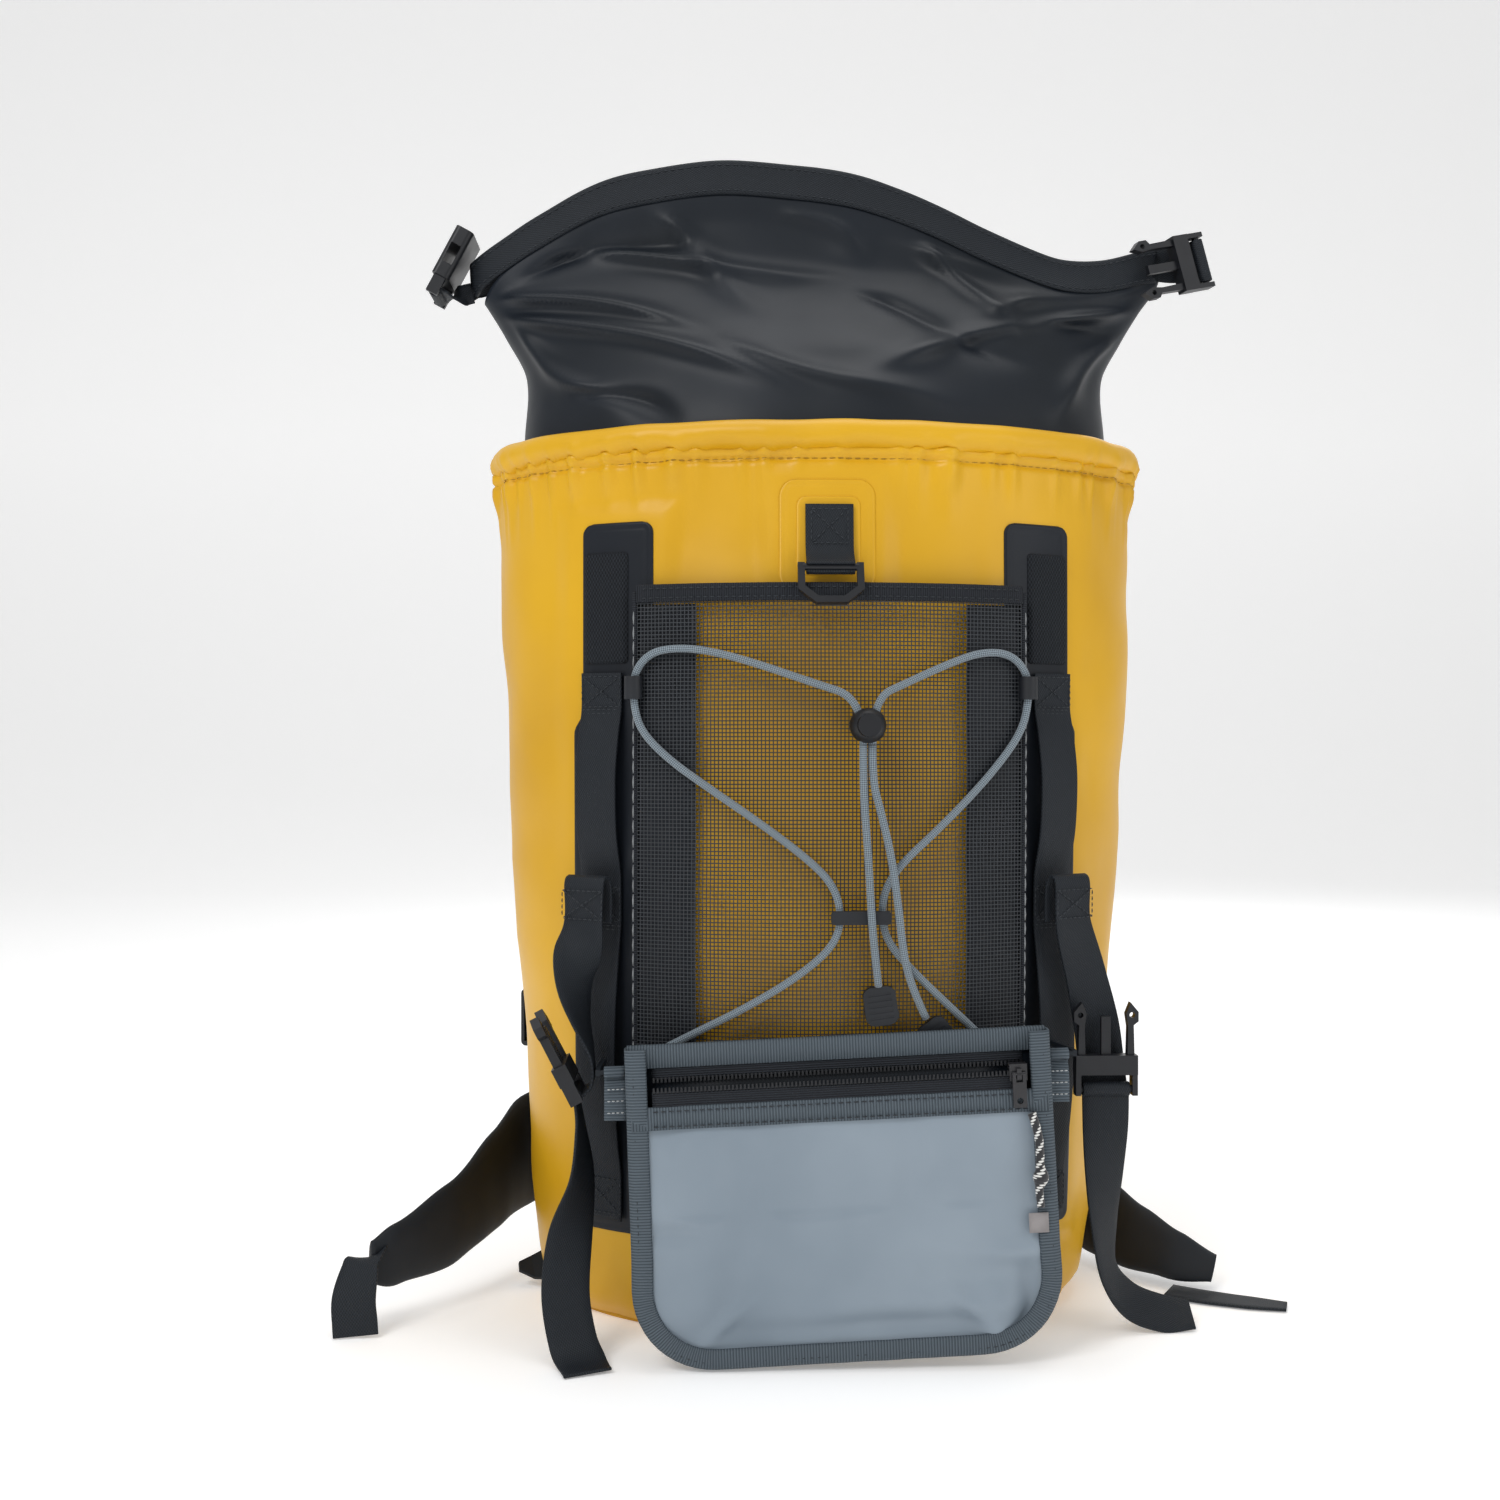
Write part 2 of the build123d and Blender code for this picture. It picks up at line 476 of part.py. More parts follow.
def make_side_straps():
    bar_left = (-133.0, -112.0, SIDE_BAR_Z)
    left = fold_over(-1, 119) + [
        strap(-134, -112, 198, (0.8, 0.6, 0)),
        strap(-131, -112, 176, (0.35, 0.93, 0)),
        strap(-125, -112, 156, (0, 1, 0)),
        strap(-124.5, -112, 142, (0, 1, 0)),
        strap(-129.9, -112, 136, (0, 1, 0)),
    ]
    tail = [
        strap(-133, -112, 133, (0, 1, 0)),
        strap(-131, -112, 118, (0.1, 1, 0)),
        strap(-130, -114, 92, (0.45, 0.9, 0)),
        strap(-136, -117, 62, (0.9, 0.44, 0)),
        strap(-138, -121, 34, (1, 0.15, 0)),
        strap(-134, -127, 12, (1, 0.05, 0)),
        strap(-129, -135, 4.0, (1, 0, 0)),
        strap(-125, -146, 2.0, (1, 0, 0)),
    ]
    ring = placed(web_ring(), bar_left, (0, 1, 0), (-0.46, 0, 0.89))
    hole = placed(Cylinder(RING_IN, 60, rotation=(0, 90, 0)), bar_left, (0, 1, 0), (-0.46, 0, 0.89))
    parts["left_side_strap"] = (ribbon(left) + ring + ribbon(tail)) - hole
    parts["left_side_buckle"] = placed(male_buckle(), bar_left, (0, 1, 0), (-0.46, 0, 0.89))

    bar_right = (147.0, -106.0, SIDE_BAR_Z - 1)
    right = fold_over(1, 119) + [
        strap(138, -99, 195, (0.93, 0.37, 0)),
        strap(144, -98, 168, (1, 0.1, 0)),
        strap(146.5, -98.6, 146, (1, 0, 0)),
        strap(147, -102.4, 136, (1, 0, 0)),
    ]
    tail = [
        strap(147, -106, 132.2, (1, 0, 0)),
        strap(147, -106, 116, (1, 0.1, 0)),
        strap(147, -104, 90, (0.9, 0.42, 0)),
        strap(148, -100, 62, (0.7, 0.7, 0)),
        strap(152, -94, 34, (0.5, 0.86, 0.1)),
        strap(164, -88, 17, (0.4, 0.8, 0.45)),
        strap(182, -84, 8.4, (0.2, 0.8, 0.55)),
        strap(200, -84, 7.0, (0.1, 0.87, 0.5), 20),
    ]
    ring = placed(web_ring(), bar_right, (1, 0, 0), (0, 0, 1))
    hole = placed(Cylinder(RING_IN, 60, rotation=(0, 90, 0)), bar_right, (1, 0, 0), (0, 0, 1))
    parts["right_side_strap"] = (ribbon(right) + ring + ribbon(tail)) - hole
    parts["right_side_buckle"] = placed(male_buckle(), bar_right, (1, 0, 0), (0, 0, 1))


# ---------------------------------------------------------------- mouth buckles
def make_mouth_buckles():
    bar_left, out_left = (-221.0, -4.0, 581.0), (0.47, 0, 0.88)
    web = ribbon([
        strap(-205.0, -2, 581.6, (0.1, 0, 1), 12),
        strap(-208.0, -2.8, 580.4, (0.1, 0.5, 0.85), 14),
        strap(-211.5, -3.4, 579.4, (0.1, 0.9, 0.3), 19),
        strap(-215.2, -4, 579.8, (0, 1, 0), 24),
        strap(-218.2, -4, 580.9, (0, 1, 0)),
    ])
    ring = placed(web_ring(), bar_left, (0, 1, 0), out_left)
    hole = placed(Cylinder(RING_IN, 60, rotation=(0, 90, 0)), bar_left, (0, 1, 0), out_left)
    tabs = web + ring - hole
    parts["mouth_socket_buckle"] = placed(female_buckle(), bar_left, (0, 1, 0), out_left)

    bar_right, lean = (228.0, -7.6, 604.0), (-0.26, 0, 0.966)
    web = ribbon([
        strap(202.4, -3, 603, (-0.1, 0, 1), 20),
        strap(212, -2.6, 603.4, (-0.2, 0, 1), 22),
        strap(221, -3.4, 604, (-0.26, 0, 0.966), 24.5),
        strap(227, -4.6, 604, (-0.26, 0, 0.966)),
    ])
    ring = placed(web_ring(), bar_right, lean, (-0.966, -0.2, -0.26))
    hole = placed(Cylinder(RING_IN, 60, rotation=(0, 90, 0)), bar_right, lean, (-0.966, -0.2, -0.26))
    parts["mouth_tabs"] = tabs + (web + ring - hole)
    parts["mouth_prong_buckle"] = placed(male_buckle(), bar_right, lean, (-0.94, -0.34, -0.26))


# ---------------------------------------------------------------- back: pad, straps, hip belt
def make_back():
    parts["back_pad"] = sheet(panel(-92, 92, 70, 426, 20), 0.3, 9.0, rear=True)
    parts["haul_handle"] = ribbon([
        strap(-26, 136, 429, (1, 0.1, 0), 20, 2.4),
        strap(-20, 140, 408, (0.8, 0, 0.5), 22, 3.0),
        strap(0, 142, 398, (0, 0, 1), 24, 3.4),
        strap(20, 140, 408, (-0.8, 0, 0.5), 22, 3.0),
        strap(26, 136, 429, (-1, 0.1, 0), 20, 2.4),
    ])
    anchors = sheet(panel(-38, 38, 431.5, 444, 4), LAYER_GAP, 14.0, rear=True)
    tabs = []

    pads = [
        ((-62, 139, 424), (1, 0.2, 0), 50, 8),
        ((-64, 148, 396), (1, 0.2, 0), 56, 9),
        ((-68, 158, 345), (1, 0.2, 0), 60, 10),
        ((-74, 164, 290), (1, 0.25, 0), 60, 10),
        ((-84, 162, 235), (1, 0.3, 0), 56, 10),
        ((-97, 152, 185), (1, 0.4, 0.1), 46, 9),
        ((-106, 143, 158), (1, 0.5, 0.1), 34, 8),
    ]
    lock = [strap(-108.5, 139.5, 150, (1, 0.5, 0.1), 32, 5), strap(-112, 135, 136, (1, 0.5, 0.1), 32, 5)]
    webbing = [
        strap(-112.3, 134.2, 134.4, (1, 0.5, 0)),
        strap(-117.5, 118, 124, (1, 0.55, 0)),
        strap(-121, 101, 116, (1, 0.6, 0)),
        strap(-122, 87.6, 112.6, (1, 0.7, 0)),
    ]
    wing = [
        ((-104, 106, 70), (0, 0.05, 1), 64, 8),
        ((-126, 97, 71), (0, 0.05, 1), 70, 10),
        ((-152, 72, 72), (0, 0, 1), 70, 11),
        ((-174, 38, 71), (0, 0, 1), 68, 11),
        ((-188, 4, 62), (0.1, 0, 1), 62, 11),
        ((-208, -32, 47), (0.2, 0, 1), 52, 10),
        ((-234, -60, 38), (0.3, 0, 1), 38, 9),
        ((-247, -70, 36), (0.4, 0, 1), 26, 7),
    ]
    for side, name in ((-1, "left"), (1, "right")):
        turn = (lambda s: s) if side < 0 else mirrored
        parts[f"{name}_shoulder_strap"] = ribbon(turn(pads))
        parts[f"{name}_ladder_lock"] = ribbon(turn(lock))
        parts[f"{name}_shoulder_webbing"] = ribbon(turn(webbing))
        yoke = panel(*sorted((side * 40, side * 90)), 427.5, 440, 3)
        anchors = anchors + sheet(yoke, LAYER_GAP, 14.0, rear=True)
        socket_bar = (side * 157.0, 84.0, 150.0)
        out = (side * 0.42, -0.9, 0.1)
        side_web = ribbon([
            strap(side * 132, 92, 150, (0, 0, 1)),
            strap(side * 146, 89, 150, (0, 0, 1)),
            strap(side * 155.6, 86.6, 150, (0, 0, 1)),
        ])
        ring = placed(web_ring(), socket_bar, (0, 0, 1), out)
        hole = placed(Cylinder(RING_IN, 60, rotation=(0, 90, 0)), socket_bar, (0, 0, 1), out)
        tabs.append(side_web + ring - hole)
        parts[f"{name}_rear_socket"] = placed(female_buckle(), socket_bar, (0, 0, 1), out)
    parts["strap_anchors"] = anchors
    parts["rear_tabs"] = tabs[0] + tabs[1]
    parts["left_hip_wing"] = ribbon(wing)
    parts["left_wing_webbing"] = ribbon([
        strap(-250.5, -76, 38.6, (1, -0.6, 0), 22),
        strap(-252, -79, 34, (1, -0.5, 0), 24),
        strap(-254, -84, 20, (1, -0.1, 0), 24),
        strap(-253, -86, 8, (1, 0.05, 0), 24),
        strap(-252.5, -86.4, 1.4, (1, 0.05, 0), 24),
    ])
    parts["right_hip_wing"] = ribbon([
        ((104, 106, 66), (0, 0.05, 1), 62, 8),
        ((126, 97, 60), (0, 0.05, 1), 64, 10),
        ((152, 72, 46), (0.1, 0.05, 1), 58, 10),
        ((174, 38, 31), (0.3, 0.1, 0.94), 46, 10),
        ((190, 8, 24), (0.5, 0.2, 0.84), 38, 9),
        ((210, -12, 18), (0.6, 0.4, 0.7), 30, 8),
        ((232, -20, 12), (0.5, 0.7, 0.5), 20, 6),
    ])
    parts["right_wing_webbing"] = ribbon([
        strap(203, -28, 2.0, (0.4, 0.9, 0), 22),
        strap(220, -38, 1.6, (0.5, 0.86, 0), 22),
        strap(240, -48, 1.6, (0.45, 0.9, 0), 20),
        strap(262, -57, 1.6, (0.4, 0.9, 0), 14),
    ])
    parts["base_side_tab"] = ribbon([
        strap(-158, 2, 12, (0, 0.8, 0.5), 22, 2),
        strap(-166, 0, 11, (0, 0.8, 0.5), 16, 2),
        strap(-174, -2, 12, (0, 0.8, 0.5), 6, 2),
    ])


make_sack()
make_collar()
make_front()
make_dring()
make_bungee()
make_cord_lock()
make_pouch()
make_zip_pull()
make_pouch_hooks()
make_side_straps()
make_mouth_buckles()
make_back()

os.makedirs("parts", exist_ok=True)
for name, solid in parts.items():
    export_step(solid, f"parts/{name}.step")
print(len(parts), "nodes")
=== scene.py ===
"""Looks for the roll-top dry backpack: tarpaulin sack, roll-top collar, laced mesh pocket, pouch and straps.

Lengths are in millimetres in the frame of the CAD model, and are scaled when meshes are made.
"""

import bpy
import math
import random
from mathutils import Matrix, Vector, noise


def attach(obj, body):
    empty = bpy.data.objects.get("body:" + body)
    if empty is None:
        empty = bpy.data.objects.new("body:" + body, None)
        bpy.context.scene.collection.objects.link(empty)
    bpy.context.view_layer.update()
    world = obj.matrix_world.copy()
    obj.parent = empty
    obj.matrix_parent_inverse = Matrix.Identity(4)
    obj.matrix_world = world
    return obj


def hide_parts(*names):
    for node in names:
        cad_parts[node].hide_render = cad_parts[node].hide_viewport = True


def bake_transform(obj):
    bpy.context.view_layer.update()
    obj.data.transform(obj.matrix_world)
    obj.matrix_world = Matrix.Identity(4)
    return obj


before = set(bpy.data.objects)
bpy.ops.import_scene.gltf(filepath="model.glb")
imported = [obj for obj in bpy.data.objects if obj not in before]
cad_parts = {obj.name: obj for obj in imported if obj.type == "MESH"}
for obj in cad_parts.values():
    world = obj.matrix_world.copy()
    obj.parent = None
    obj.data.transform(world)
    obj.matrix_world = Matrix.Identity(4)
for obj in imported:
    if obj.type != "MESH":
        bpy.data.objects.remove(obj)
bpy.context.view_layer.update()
MM = 0.001
TURN = 2 * math.pi
STRAP_X = 119  # the vertical straps on the front, left and right of the middle
POCKET_X = 99.4  # the pocket's side walls
WEB_WIDTH, WEB_THICK = 25, 1.5
BAR_RADIUS = 3.15  # webbing wrapped round a buckle's bar
THREAD_LIFT = 0.15  # stitches above the cloth
LINE_STEP = 3.0  # spacing of points in a line of stitches
OUTWARD = Vector((0, -1, 0))
rng = random.Random(7)

# ---------------------------------------------------------------- the sack's wall
# (height, half width, half depth)
SACK = [
    (3, 150, 95), (14, 158, 103), (46, 163, 108), (105, 169, 114), (223, 175, 120), (342, 183, 122),
    (475, 186, 119),
]


def table(levels, z, column=1):
    """Smooth value at height z from rows of (z, value, ...)."""
    if z <= levels[0][0]:
        return levels[0][column]
    for k in range(len(levels) - 1):
        z0, z1 = levels[k][0], levels[k + 1][0]
        if z <= z1:
            before = levels[max(k - 1, 0)]
            after = levels[min(k + 2, len(levels) - 1)]
            v0, v1 = levels[k][column], levels[k + 1][column]
            m0 = (v1 - before[column]) / (z1 - before[0])
            m1 = (after[column] - v0) / (after[0] - z0)
            h, t = z1 - z0, (z - z0) / (z1 - z0)
            return (
                v0 * (2 * t**3 - 3 * t**2 + 1) + m0 * h * (t**3 - 2 * t**2 + t)
                + v1 * (3 * t**2 - 2 * t**3) + m1 * h * (t**3 - t**2)
            )
    return levels[-1][column]


def oval(levels, turn, z, off):
    """Point on an oval wall: turn runs from 0 at +X by way of +Y."""
    a, b = table(levels, z, 1), table(levels, z, 2)
    c, s = math.cos(turn), math.sin(turn)
    out = Vector((c / a, s / b, 0)).normalized()
    return Vector((a * c, b * s, z)) + out * off


def wall(turn, z, off=0.0):
    return oval(SACK, turn, z, off)


def front(x, z, off=0.0, rear=False):
    """Point on the front or rear of the wall at x and z, moved out by off."""
    a, b = table(SACK, z, 1), table(SACK, z, 2)
    y = b * math.sqrt(max(0.0, 1 - (x / a) ** 2)) * (1 if rear else -1)
    out = Vector((x / a**2, y / b**2, 0)).normalized()
    return Vector((x, y, z)) + out * off


def across(x, z, rear=False):
    p = front(x + 1, z, 0, rear) - front(x - 1, z, 0, rear)
    return p.normalized()


def wave(x, y, z, size, seed=0.0):
    """Smooth noise from about -1 to 1 at a given wavelength."""
    return noise.noise(Vector((x / size + seed, y / size - seed, z / size + 2 * seed))) * 1.8


def bell(value, width):
    """1 at 0, falling smoothly to either side."""
    return math.exp(-((value / width) ** 2))


# ---------------------------------------------------------------- materials
class Paint:
    """A small helper that builds one node material."""

    def __init__(self, name, color, rough=0.6, **extra):
        self.mat = bpy.data.materials.new(name)
        self.mat.use_nodes = True
        self.tree = self.mat.node_tree
        self.shader = self.tree.nodes["Principled BSDF"]
        self.shader.inputs["Base Color"].default_value = (*color, 1)
        self.shader.inputs["Roughness"].default_value = rough
        for key, value in extra.items():
            self.shader.inputs[key.replace("_", " ")].default_value = value
        self.mat.diffuse_color = (*color, 1)
        self.height = None

    def node(self, kind, **values):
        made = self.tree.nodes.new(kind)
        for key, value in values.items():
            if hasattr(made, key):
                setattr(made, key, value)
            else:
                made.inputs[key.replace("_", " ")].default_value = value
        return made

    def link(self, a, b):
        self.tree.links.new(a, b)

    def math(self, operation, a, b=None, c=None, clamp=False):
        made = self.node("ShaderNodeMath", operation=operation, use_clamp=clamp)
        for k, value in enumerate((a, b, c)):
            if value is None:
                continue
            if isinstance(value, (int, float)):
                made.inputs[k].default_value = value
            else:
                self.link(value, made.inputs[k])
        return made.outputs[0]

    def uv(self):
        """The two texture coordinates. On cloth they are metres across and along it."""
        split = self.node("ShaderNodeSeparateXYZ")
        self.link(self.node("ShaderNodeTexCoord").outputs["UV"], split.inputs[0])
        return split.outputs[0], split.outputs[1]

    def cycles(self, value, pitch):
        """The angle of a pattern that repeats every pitch millimetres."""
        return self.math("MULTIPLY", value, TURN / (pitch * MM))

    def half(self, value):
        """Moves -1 to 1 to 0 to 1."""
        return self.math("MULTIPLY_ADD", value, 0.5, 0.5)

    def noise(self, scale, detail):
        made = self.node("ShaderNodeTexNoise", Scale=scale, Detail=detail, Roughness=0.5)
        self.link(self.node("ShaderNodeTexCoord").outputs["Object"], made.inputs["Vector"])
        return made.outputs["Fac"]

    def tint(self, fac, low, high, start=0.35, end=0.65):
        """Blends two colours by a value and drives the base colour with it."""
        ramp = self.node("ShaderNodeValToRGB")
        ramp.color_ramp.elements[0].position = start
        ramp.color_ramp.elements[1].position = end
        ramp.color_ramp.elements[0].color = (*low, 1)
        ramp.color_ramp.elements[1].color = (*high, 1)
        self.link(fac, ramp.inputs["Fac"])
        self.link(ramp.outputs["Color"], self.shader.inputs["Base Color"])
        return ramp.outputs["Color"]

    def rough(self, fac, low, high):
        made = self.node("ShaderNodeMapRange")
        made.inputs["To Min"].default_value = low
        made.inputs["To Max"].default_value = high
        self.link(fac, made.inputs["Value"])
        self.link(made.outputs[0], self.shader.inputs["Roughness"])

    def bump(self, fac, distance, strength=1.0):
        """Adds one bump on top of those already there. distance is in millimetres."""
        made = self.node("ShaderNodeBump")
        made.inputs["Strength"].default_value = strength
        made.inputs["Distance"].default_value = distance * MM
        self.link(fac, made.inputs["Height"])
        if self.height is not None:
            self.link(self.height, made.inputs["Normal"])
        self.height = made.outputs["Normal"]
        self.link(self.height, self.shader.inputs["Normal"])

    def weave(self, along, over):
        """Plain weave with the given pitches in millimetres, from 0 to 1."""
        u, v = self.uv()
        one, two = self.math("SINE", self.cycles(u, over)), self.math("SINE", self.cycles(v, along))
        return self.half(self.math("MULTIPLY", one, two))

    def ribs(self, pitch):
        """Ribs across the cloth, from 0 to 1."""
        return self.half(self.math("SINE", self.cycles(self.uv()[1], pitch)))


def tarpaulin(name, low, high, rough=(0.34, 0.5), grain=0.9, gloss=0.4):
    p = Paint(name, high, 0.42, Specular_IOR_Level=gloss)
    p.tint(p.noise(7, 4), low, high)
    p.rough(p.noise(30, 5), *rough)
    p.bump(p.noise(12, 5), 1.6, 0.35)
    p.bump(p.weave(grain, grain), 0.03, 0.3)
    return p.mat


def webbing(name, low, high, pitch=1.3, deep=0.25, rough=0.62):
    p = Paint(name, high, rough, Specular_IOR_Level=0.3)
    fac = p.weave(pitch * 1.6, pitch)
    p.tint(fac, low, high, 0.2, 0.8)
    p.bump(fac, deep, 0.8)
    p.bump(p.noise(60, 3), 0.5, 0.2)
    return p.mat


def ribbed(name, low, high, pitch):
    p = Paint(name, high, 0.7, Specular_IOR_Level=0.3)
    fac = p.ribs(pitch)
    p.tint(fac, low, high, 0.1, 0.7)
    p.bump(fac, 0.3, 0.9)
    p.bump(p.weave(0.9, 0.7), 0.12, 0.5)
    return p.mat


def plastic(name, color, rough=0.42):
    p = Paint(name, color, rough, Specular_IOR_Level=0.45)
    p.tint(p.noise(40, 3), tuple(c * 0.8 for c in color), tuple(c * 1.15 for c in color))
    p.rough(p.noise(90, 4), rough - 0.08, rough + 0.12)
    p.bump(p.noise(900, 2), 0.04, 0.35)
    return p.mat


def braid(name, low, high):
    """Braided cord: u runs round the cord from 0 to 1 and v along it in metres."""
    strands, pitch = 6, 2.2
    p = Paint(name, high, 0.68, Sheen_Weight=0.3)
    u, v = p.uv()
    around, along = p.math("MULTIPLY", u, TURN * strands), p.cycles(v, pitch)
    one = p.math("SINE", p.math("ADD", around, along))
    two = p.math("SINE", p.math("SUBTRACT", around, along))
    fac = p.half(p.math("MULTIPLY", one, two))
    p.tint(fac, low, high, 0.4, 0.6)
    p.bump(fac, 0.25, 0.8)
    return p.mat


def flecked(name):
    """Black braid with white flecks in groups."""
    group_pitch, thread_pitch = 7.5, 1.5
    p = Paint(name, (0.02, 0.02, 0.022), 0.65, Sheen_Weight=0.3)
    u, v = p.uv()
    one = p.math("SINE", p.math("ADD", p.math("MULTIPLY", u, TURN * 2), p.cycles(v, group_pitch)))
    fine = p.math("SINE", p.cycles(v, thread_pitch))
    fac = p.math("MULTIPLY_ADD", p.math("ADD", one, p.math("MULTIPLY", fine, 0.5)), 0.35, 0.45)
    p.tint(fac, (0.015, 0.015, 0.018), (0.75, 0.75, 0.72), 0.62, 0.7)
    p.bump(fac, 0.3, 0.7)
    return p.mat


def open_mesh(name, color):
    """Net with square holes. UVs are in metres. The strands carry a painted highlight along their middles."""
    pitch, hole = 2.05, 0.35
    p = Paint(name, color, 0.6, Specular_IOR_Level=0.3)
    gaps = []
    for value in p.uv():
        cell = p.math("FRACT", p.math("MULTIPLY", value, 1 / (pitch * MM)))
        gaps.append(p.math("ABSOLUTE", p.math("SUBTRACT", cell, 0.5)))
    nearest = p.math("MAXIMUM", *gaps)
    solid = p.math("GREATER_THAN", nearest, hole)
    p.link(solid, p.shader.inputs["Alpha"])
    # painted highlight: each black strand is painted lighter along its middle than at its edges
    p.tint(nearest, color, (0.050, 0.056, 0.064), hole, 0.5)
    p.bump(nearest, 0.4, 0.6)
    return p.mat


YELLOW_DARK, YELLOW = (0.63, 0.335, 0.006), (0.74, 0.41, 0.009)
M = {
    "yellow": tarpaulin("yellow_tarpaulin", YELLOW_DARK, YELLOW),
    "black": tarpaulin("black_coated", (0.006, 0.009, 0.013), (0.011, 0.015, 0.022), (0.40, 0.52), 0.7, 0.28),
    "patch": tarpaulin("black_patch", (0.006, 0.008, 0.012), (0.010, 0.013, 0.019), (0.36, 0.5), 0.7, 0.28),
    "webbing": webbing("black_webbing", (0.004, 0.006, 0.009), (0.016, 0.021, 0.028)),
    "grip": webbing("grip_loops", (0.003, 0.004, 0.006), (0.016, 0.020, 0.026), 1.9, 0.6, 0.85),
    "mesh": open_mesh("black_mesh", (0.008, 0.009, 0.011)),
    "binding": ribbed("black_tape", (0.005, 0.006, 0.009), (0.018, 0.022, 0.029), 1.2),
    "grey": tarpaulin("grey_coated", (0.20, 0.25, 0.30), (0.265, 0.32, 0.375), (0.34, 0.48), 0.7),
    "greytape": ribbed("grey_tape", (0.045, 0.060, 0.074), (0.10, 0.125, 0.148), 1.5),
    "plastic": plastic("black_plastic", (0.007, 0.008, 0.011)),
    "metal": plastic("black_metal", (0.02, 0.02, 0.023), 0.3),
    "bungee": braid("bungee_cord", (0.07, 0.09, 0.11), (0.25, 0.31, 0.355)),
    "fleck": flecked("flecked_cord"),
    "rubber": plastic("rubber_tab", (0.009, 0.011, 0.015), 0.5),
    "pad": tarpaulin("padded_cloth", (0.007, 0.009, 0.012), (0.014, 0.017, 0.022), (0.5, 0.7), 1.1, 0.25),
    "seam": plastic("seam_thread", (0.42, 0.22, 0.012), 0.6),
    "tag": plastic("tag_cloth", (0.30, 0.28, 0.28), 0.7),
    "thread": plastic("thread", (0.022, 0.027, 0.034), 0.6),
    "lightthread": plastic("light_thread", (0.45, 0.47, 0.48), 0.6),
    "silver": plastic("reflective_thread", (0.20, 0.21, 0.22), 0.35),
    "steel": plastic("spring_steel", (0.5, 0.5, 0.52), 0.3),
}


# ---------------------------------------------------------------- mesh builders
def build(name, verts, faces, uvs, mat, smooth=True):
    mesh = bpy.data.meshes.new(name)
    mesh.from_pydata([tuple(v * MM) for v in verts], [], faces)
    layer = mesh.uv_layers.new(name="uv")
    if uvs:
        flat = [value for face in uvs for corner in face for value in corner]
        layer.data.foreach_set("uv", flat)
    for poly in mesh.polygons:
        poly.use_smooth = smooth
    mesh.materials.append(M[mat])
    obj = bpy.data.objects.new(name, mesh)
    bpy.context.collection.objects.link(obj)
    return obj


def place(obj, body, slot, *nodes):
    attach(obj, body)
    if nodes:
        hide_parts(*nodes)
    return obj


def lengths(points):
    total, out = 0.0, [0.0]
    for p, q in zip(points, points[1:]):
        total += (q - p).length
        out.append(total)
    return out


def grid(name, rows, mat, closed=False, thick=0.0, cap=False, uv=None):
    """Sheet through rows of points. UVs are distances in metres, or what uv gives for (row, column)."""
    n = len(rows[0])
    verts = [p for row in rows for p in row]
    middle = rows[len(rows) // 2]
    us = lengths(list(middle) + [middle[0]])
    vs = lengths([row[n // 2] for row in rows])
    faces, uvs = [], []
    for j in range(len(rows) - 1):
        for i in range(n if closed else n - 1):
            k = (i + 1) % n
            faces.append((j * n + i, j * n + k, (j + 1) * n + k, (j + 1) * n + i))
            if uv:
                uvs.append([uv(j, i), uv(j, i + 1), uv(j + 1, i + 1), uv(j + 1, i)])
            else:
                u0, u1, v0, v1 = us[i] * MM, us[i + 1] * MM, vs[j] * MM, vs[j + 1] * MM
                uvs.append([(u0, v0), (u1, v0), (u1, v1), (u0, v1)])
    if cap:
        faces.append(tuple(range(n))[::-1])
        uvs.append([(0, 0)] * n)
        faces.append(tuple(range(len(verts) - n, len(verts))))
        uvs.append([(0, 0)] * n)
    obj = build(name, verts, faces, uvs, mat)
    if thick:
        solid = obj.modifiers.new("thickness", "SOLIDIFY")
        solid.thickness = abs(thick) * MM
        solid.offset = -1 if thick > 0 else 1
    return obj


def bar(name, rows, mat):
    """Closed bar through rings of points, with both ends capped."""
    return grid(name, rows, mat, closed=True, cap=True)


def ease(t):
    t = min(1.0, max(0.0, t))
    return t * t * (3 - 2 * t)


def spline(points, t):
    """Catmull-Rom through points, t from 0 to len - 1."""
    k = min(int(t), len(points) - 2)
    f = t - k
    p0, p1, p2, p3 = (points[min(max(k + d, 0), len(points) - 1)] for d in (-1, 0, 1, 2))
    square, cube = 2 * p0 - 5 * p1 + 4 * p2 - p3, 3 * p1 - p0 - 3 * p2 + p3
    return 0.5 * (2 * p1 + (p2 - p0) * f + square * f**2 + cube * f**3)


def stations(*rows):
    """A strap's stations from rows of x, y, z, the width's direction and, if unusual, width and thickness."""
    return [(r[:3], r[3:6], *r[6:], *(WEB_WIDTH, WEB_THICK)[len(r) - 6:]) for r in rows]


